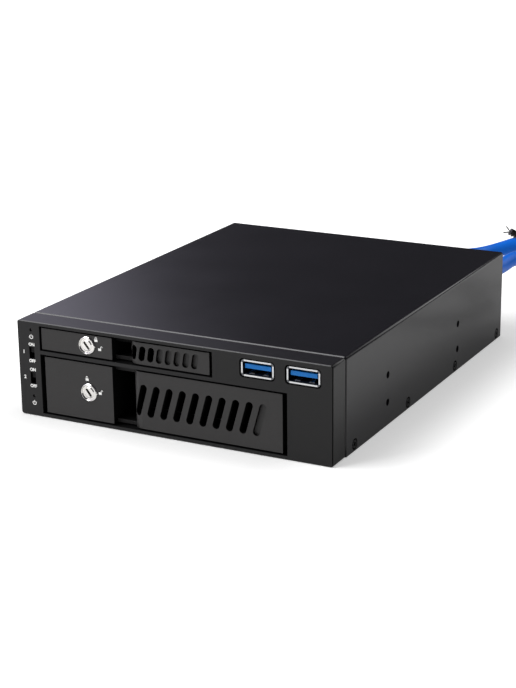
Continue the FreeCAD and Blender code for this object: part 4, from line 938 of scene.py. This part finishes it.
# %% Finishes of single pieces and faces
door_plastic = moulded("door_plastic", (46, 45, 45), (58, 57, 57), FINE, 0.34, 0.46,
                       Specular_IOR_Level=0.28)
# Painted shade: a darker copy of the door plastic for the ledges set back in the finger recess.
ledge_shaded_plastic = moulded("ledge_shaded_plastic", (26, 26, 26), (36, 35, 35), FINE, 0.5, 0.65,
                        Specular_IOR_Level=0.2)
# Painted shade: a dull black for walls, gaps and bevels that get little light.
painted_shade_black = moulded("painted_shade_black", (4, 4, 4), (9, 9, 9), FINE, 0.65, 0.85, Specular_IOR_Level=0.1)
# Painted shade: a blue-black for the block behind each tongue and the inner walls of each shell.
port_painted_shade = moulded("port_painted_shade", (4, 10, 20), (8, 18, 34), PEBBLED, 0.5, 0.7, Specular_IOR_Level=0.15)
print_white = moulded("print_white", (240, 240, 238), (254, 254, 252), FINE, 0.5, 0.65, bump=0.05)
screw_black = metal("screw_black", (20, 20, 21), (38, 38, 39), TURNED, 0.3, 0.45)
spring_steel = metal("spring_steel", (150, 152, 156), (196, 198, 202), ROLLED, 0.2, 0.35)
# Painted shade: a dimmer copy of the port chrome for the set-back corners of each lip.
lip_shaded_chrome = metal("lip_shaded_chrome", (88, 89, 93), (124, 125, 129), ROLLED, 0.2, 0.35)
print("materials", len(bpy.data.materials))

# %% Paint every piece
def paint(piece, material):
    """Give a piece one finish all over."""
    piece.data.materials.clear()
    piece.data.materials.append(material)


for row in frame["record"]["subparts"]:
    paint(nodes[row["node"]], finishes[row["material_slot"]])
doors = [nodes[f"{bay}_{part}"] for bay in BAYS for part in ("tray_front", "lever")]
painted = [
    (doors, door_plastic), ([left_lead, right_lead], finishes["lead_blue"]),
    ([wire_tie, coil_band], finishes["tie_black"]), (springs, spring_steel), (lips, lip_shaded_chrome),
    (pins + rear_rows, finishes["bush_brass"]), (prints, print_white), ([cover_screw_set], screw_black),
    ([rear_screw_set], finishes["plain_steel"]),
]
for pieces, material in painted:
    for piece in pieces:
        paint(piece, material)
print("pieces painted apart from their slots", sum(len(pieces) for pieces, material in painted))

# %% [markdown]
# ## Painted shade inside
#
# The walls of the windows, slots and gaps hardly get any light, and on the real rack they read as black lines
# and black openings round the satin faces. A face of a solid can have a material of its own, so the faces
# that look out of the front keep the satin finish and every wall behind them is painted a dull black, as
# painted shade. So are the cover's rim at the seam, its countersinks, and the bezel's side and lower bevels.
# The insides of the ports take a painted blue-black shade, and the set-back corners of their lips a dimmer
# chrome, which is also painted shade. The edges of a tray's floor and roof, which show in its finger recess,
# take a painted half shade between the two.

# %% Which faces of the case are in the light
FACING = 0.1
SLOPING = 0.5
SKIN_DEPTH = 0.6
COUNTERSINK = 2.5
BEZEL_LOW, BEZEL_HIGH = corners_of("front_bezel")
COVER_FRONT = corners_of("top_cover")[0].y


# Bezel faces off this skin get painted shade, which also draws dark lines on the side and lower bevels.
def bezel_skin(place, normal):
    """The bezel's face with its top bevel, and its outside, but not the back rim or the other bevels."""
    edge = min(BEZEL_HIGH.x - abs(place.x), place.z - BEZEL_LOW.z, BEZEL_HIGH.z - place.z)
    outside = edge < SKIN_DEPTH and normal.y < FACING
    bevel = -1 + FACING < normal.y < -SLOPING and normal.z < SLOPING
    return not bevel and (outside or (normal.y < -FACING and place.y < FRONT + SKIN_DEPTH))


# The cover's front rim at the seam and its countersinks get painted shade.
def cover_skin(place, normal):
    """All of the cover but its front rim at the seam and the countersinks round its screws."""
    rim = normal.y < -1 + FACING and place.y < COVER_FRONT + SKIN_DEPTH
    nearest = min(math.hypot(place.y - along, place.z - screw_height) for along in screw_rows)
    sunk = nearest < COUNTERSINK and abs(normal.x) < 1 - FACING
    return not rim and not sunk


# %% Which faces of the trays and ports are in the light
TRAY_SKIN_DEPTH = 1.0
LEDGE_DEPTH = 4.0
LEDGE_TOP = 36.0
ROLL_DEPTH = 5.9
TONGUE_DEPTH = 10.0
SHELL_SKIN_DEPTH = 2.0


# Tray and lever faces off their skins get painted shade, including the far end of a lever's rolled edge.
def tray_skin(place, normal):
    """The front face of a tray."""
    return normal.y < -FACING and place.y < TRAY_FRONT + TRAY_SKIN_DEPTH


# These ledges take a painted half shade; the highest one stays painted black.
def tray_ledge(place, normal):
    """The edges of a tray's floor and roof behind its front, but not the highest one, which gets no light."""
    behind = TRAY_SKIN_DEPTH < place.y - TRAY_FRONT < LEDGE_DEPTH
    return normal.y < -FACING and behind and place.z < LEDGE_TOP


def lever_skin(place, normal):
    """The front of a lever with its rolled edge."""
    return normal.y < -FACING and place.y < TRAY_FRONT + ROLL_DEPTH


# The block behind the tongue gets painted shade in place of its blue.
def tongue_skin(place, normal):
    """The blue tongue of a port, but not the block behind it."""
    return place.y < FRONT + TONGUE_DEPTH


# The shell's inner walls get painted shade in place of its chrome.
def shell_skin(place, normal):
    """The bright rim of a port's shell: its four flaps and the corners between them, a little deeper."""
    return normal.y < -SLOPING and place.y < FRONT + SHELL_SKIN_DEPTH


# %% Painted shade on the walls behind the front faces
def paint_faces(node, is_wanted, material):
    """Give another finish to the faces of a node that pass a test, and count them."""
    mesh = nodes[node].data
    mesh.materials.append(material)
    wanted = [face for face in mesh.polygons if is_wanted(face.center / MM, face.normal)]
    for face in wanted:
        face.material_index = len(mesh.materials) - 1
    return len(wanted)


def paint_behind(node, is_skin, material):
    """Give another finish to the faces of a node that aren't on its skin."""
    return paint_faces(node, lambda place, normal: not is_skin(place, normal), material)


# Painted shade: each face off a skin takes a dark finish in place of its own.
painted_shade_faces = paint_behind("front_bezel", bezel_skin, painted_shade_black)
painted_shade_faces += paint_behind("top_cover", cover_skin, painted_shade_black)
for bay in BAYS:
    painted_shade_faces += paint_behind(f"{bay}_tray_front", tray_skin, painted_shade_black)
    painted_shade_faces += paint_faces(f"{bay}_tray_front", tray_ledge, ledge_shaded_plastic)
    painted_shade_faces += paint_behind(f"{bay}_lever", lever_skin, painted_shade_black)
for name in PORT_CENTRES:
    painted_shade_faces += paint_behind(f"usb_insert_{name}", tongue_skin, port_painted_shade)
    painted_shade_faces += paint_behind(f"usb_shell_{name}", shell_skin, port_painted_shade)
print("dark faces", painted_shade_faces)

# %% [markdown]
# ## Softened edges
#
# Real mouldings and folded sheet have no knife edges: each edge is a tiny round that catches the light. The
# solids keep their sharp edges, so a Bevel modifier rounds them for the eye. Their triangles are separate, so
# a Weld modifier joins them first, and a planar Decimate then makes one face of the triangles that lie level
# with each other. Without it the thin ones beside a hole fold over when its edge is rounded.

# %% Small rounds on the solids
WELD_DISTANCE = 1e-6
LEVEL = math.radians(0.5)
EDGE_ROUNDS = {
    "front_bezel": 0.18, "top_cover": 0.2, "upper_tray_front": 0.25, "lower_tray_front": 0.25,
    "upper_lever": 0.25, "lower_lever": 0.25, "upper_lock_plug": 0.12, "lower_lock_plug": 0.12,
    "upper_switch_slider": 0.2, "lower_switch_slider": 0.2, "usb_insert_left": 0.12,
    "usb_insert_right": 0.12, "usb_shell_left": 0.08, "usb_shell_right": 0.08, "header_plug": 0.4,
    "upper_data_port": 0.2, "lower_data_port": 0.2, "power_inlet": 0.2, "rear_panel": 0.15,
    "base_pan": 0.2,
}
for name, radius in EDGE_ROUNDS.items():
    weld = nodes[name].modifiers.new("weld", "WELD")
    weld.merge_threshold = WELD_DISTANCE
    flat_faces = nodes[name].modifiers.new("flat_faces", "DECIMATE")
    flat_faces.decimate_type = "DISSOLVE"
    flat_faces.angle_limit = LEVEL
    flat_faces.delimit = {"MATERIAL"}
    bevel = nodes[name].modifiers.new("soft_edges", "BEVEL")
    bevel.width = radius * MM
    bevel.segments = EDGE_SEGMENTS
    bevel.limit_method = "ANGLE"
    bevel.angle_limit = SHARP
print("softened", len(EDGE_ROUNDS), "nodes")

# %% [markdown]
# ## Floor
#
# The photograph has a plain white sweep. A white floor that is only lit looks grey beside it, so camera rays
# see a glow added to the floor, more of it further away. It reads as white while the rack still shades it
# near by, and the weaker glow near the rack deepens that shade as painted shade. Along the rack's front foot
# the glow is taken away, which is a painted shadow. Glossy rays see a faint glow that fades out near the
# rack, so the foot of the rack's side mirrors a painted shade. How far a spot lies outside a rectangle, which
# a few vector steps work out, says how strong the glow is.

# %% A sheet under the rack
FLOOR_SIZE = 12.0
FLOOR_DROP = 0.0002
FLOOR_COLOUR = (0.9, 0.9, 0.9, 1.0)
FLOOR_ROUGHNESS = 0.9
FLOOR_GLOSS = 0.1
WHITE = (1.0, 1.0, 1.0, 1.0)

floor_shape = bmesh.new()
bmesh.ops.create_grid(floor_shape, x_segments=1, y_segments=1, size=FLOOR_SIZE / 2)
floor_mesh = bpy.data.meshes.new("floor")
floor_shape.to_mesh(floor_mesh)
floor_shape.free()
floor = bpy.data.objects.new("floor", floor_mesh)
floor.location.z = -FLOOR_DROP
scene.collection.objects.link(floor)

sweep = bpy.data.materials.new("white_sweep")
sweep.use_nodes = True
shader = sweep.node_tree.nodes["Principled BSDF"]
shader.inputs["Base Color"].default_value = FLOOR_COLOUR
shader.inputs["Roughness"].default_value = FLOOR_ROUGHNESS
shader.inputs["Specular IOR Level"].default_value = FLOOR_GLOSS
shader.inputs["Emission Color"].default_value = WHITE
paint(floor, sweep)
print("floor laid")

# %% The floor's glow
FOOT_LEFT, FOOT_RIGHT = BEZEL_LOW.x, 40.5
RACK_CENTRE = (0.0, 0.0, 0.0)
RACK_HALF = (BEZEL_HIGH.x * MM, -FRONT * MM, 0.0)
FOOT_CENTRE = ((FOOT_LEFT + FOOT_RIGHT) / 2 * MM, FRONT * MM, 0.0)
FOOT_HALF = ((FOOT_RIGHT - FOOT_LEFT) / 2 * MM, 0.0, 0.0)
# Less glow near the rack than far off: painted shade round the rack.
SEEN_GLOW = (0.37, 0.66)
SEEN_REACH = (0.0, 0.085)
# Glow taken away along the front foot: a painted shadow.
PAINTED_FOOT_SHADOW = (-0.24, 0.0)
FOOT_REACH = (0.0, 0.035)
# Glossy rays see no glow near the rack: painted shade in what the side mirrors.
MIRROR_GLOW = (0.0, 0.05)
MIRROR_REACH = (0.0, 0.08)


def eased(tree, socket, reach, ends):
    """A smooth step between two values, over a reach of the value in a socket."""
    node = map_range(tree, socket, *ends)
    node.interpolation_type = "SMOOTHSTEP"
    node.inputs["From Min"].default_value, node.inputs["From Max"].default_value = reach
    return node.outputs["Result"]


def distance_from(tree, spot, centre, half):
    """How far a spot of the floor lies outside a rectangle."""
    moved = vector_step(tree, "SUBTRACT", spot, centre)
    folded = vector_step(tree, "ABSOLUTE", moved.outputs["Vector"])
    outside = vector_step(tree, "SUBTRACT", folded.outputs["Vector"], half)
    outside = vector_step(tree, "MAXIMUM", outside.outputs["Vector"], (0.0, 0.0, 0.0))
    return vector_step(tree, "LENGTH", outside.outputs["Vector"]).outputs["Value"]


tree = sweep.node_tree
rays = tree.nodes.new("ShaderNodeLightPath")
spot = tree.nodes.new("ShaderNodeTexCoord").outputs["Object"]
from_rack = distance_from(tree, spot, RACK_CENTRE, RACK_HALF)
from_foot = distance_from(tree, spot, FOOT_CENTRE, FOOT_HALF)
far_glow = eased(tree, from_rack, SEEN_REACH, SEEN_GLOW)
painted_foot_shadow = eased(tree, from_foot, FOOT_REACH, PAINTED_FOOT_SHADOW)
mirror_glow = eased(tree, from_rack, MIRROR_REACH, MIRROR_GLOW)
seen = math_step(tree, "MULTIPLY", rays.outputs["Is Camera Ray"], math_step(tree, "ADD", far_glow, painted_foot_shadow))
mirrored = math_step(tree, "MULTIPLY", rays.outputs["Is Glossy Ray"], mirror_glow)
tree.links.new(math_step(tree, "ADD", seen, mirrored), shader.inputs["Emission Strength"])
print("floor nodes", len(tree.nodes))

# %% [markdown]
# ## Light and background
#
# The world is white for rays that look straight at it and gentler as a light. What the satin paint mirrors is
# a studio with a bright side at the left and an unlit far end: that keeps the top dark and lets its front
# corner lighten. A broad lamp at the front left is the key light. A lamp behind the rack gives no matt light
# and shows only as a gleam, as on the far edges. The coil lies close by but out of the picture, so the
# leads are kept out of what the rack's side mirrors.

# %% World
WORLD_LIGHT = 0.42
DARK_END, BRIGHT_END = 0.042, 0.86
BRIGHT_WAY = (-1.0, 0.0, 0.55)
FADE = (0.65, 0.698)
MIRROR_TINT = (0.95, 0.92, 1.1, 1.0)

world = bpy.data.worlds.new("studio")
world.use_nodes = True
scene.world = world
tree = world.node_tree
background = tree.nodes["Background"]
rays = tree.nodes.new("ShaderNodeLightPath")
direction = tree.nodes.new("ShaderNodeTexCoord").outputs["Generated"]
leaning = vector_step(tree, "DOT_PRODUCT", direction, BRIGHT_WAY)
mirrored = eased(tree, leaning.outputs["Value"], FADE, (DARK_END, BRIGHT_END))
tint = tree.nodes.new("ShaderNodeMix")
tint.data_type = "RGBA"
tint.inputs["A"].default_value = WHITE
tint.inputs["B"].default_value = MIRROR_TINT
tree.links.new(rays.outputs["Is Glossy Ray"], tint.inputs["Factor"])
tree.links.new(tint.outputs["Result"], background.inputs["Color"])
clear = math_step(tree, "MAXIMUM", rays.outputs["Is Camera Ray"], rays.outputs["Is Transmission Ray"])
unseen = map_range(tree, rays.outputs["Is Glossy Ray"], WORLD_LIGHT, mirrored)
strength = map_range(tree, clear, unseen.outputs["Result"], 1.0)
tree.links.new(strength.outputs["Result"], background.inputs["Strength"])
print("world nodes", len(tree.nodes))

# %% Lamps
def soft_lamp(name, place, target, width, height, power):
    """A rectangular lamp that looks at a target."""
    lamp = bpy.data.lights.new(name, "AREA")
    lamp.shape = "RECTANGLE"
    lamp.size = width
    lamp.size_y = height
    lamp.energy = power
    holder = bpy.data.objects.new(name, lamp)
    holder.location = place
    holder.rotation_euler = (Vector(target) - Vector(place)).to_track_quat("-Z", "Y").to_euler()
    scene.collection.objects.link(holder)
    return holder


soft_lamp("key", place=(-0.62, -0.55, 0.95), target=(0.0, 0.0, 0.0), width=0.8, height=0.8, power=12.0)
edge_lamp = soft_lamp("edge", place=(0.41, 1.26, 0.61), target=(0.0, 0.0, 0.04), width=0.8, height=0.7,
                      power=2.3)
edge_lamp.visible_diffuse = False
for piece in (left_lead, right_lead, wire_tie, coil_band, nodes["header_plug"]):
    piece.visible_glossy = False
    piece.visible_diffuse = False
print("lamps", len(bpy.data.lights))

# %% Plain view transform
scene.view_settings.view_transform = "Standard"
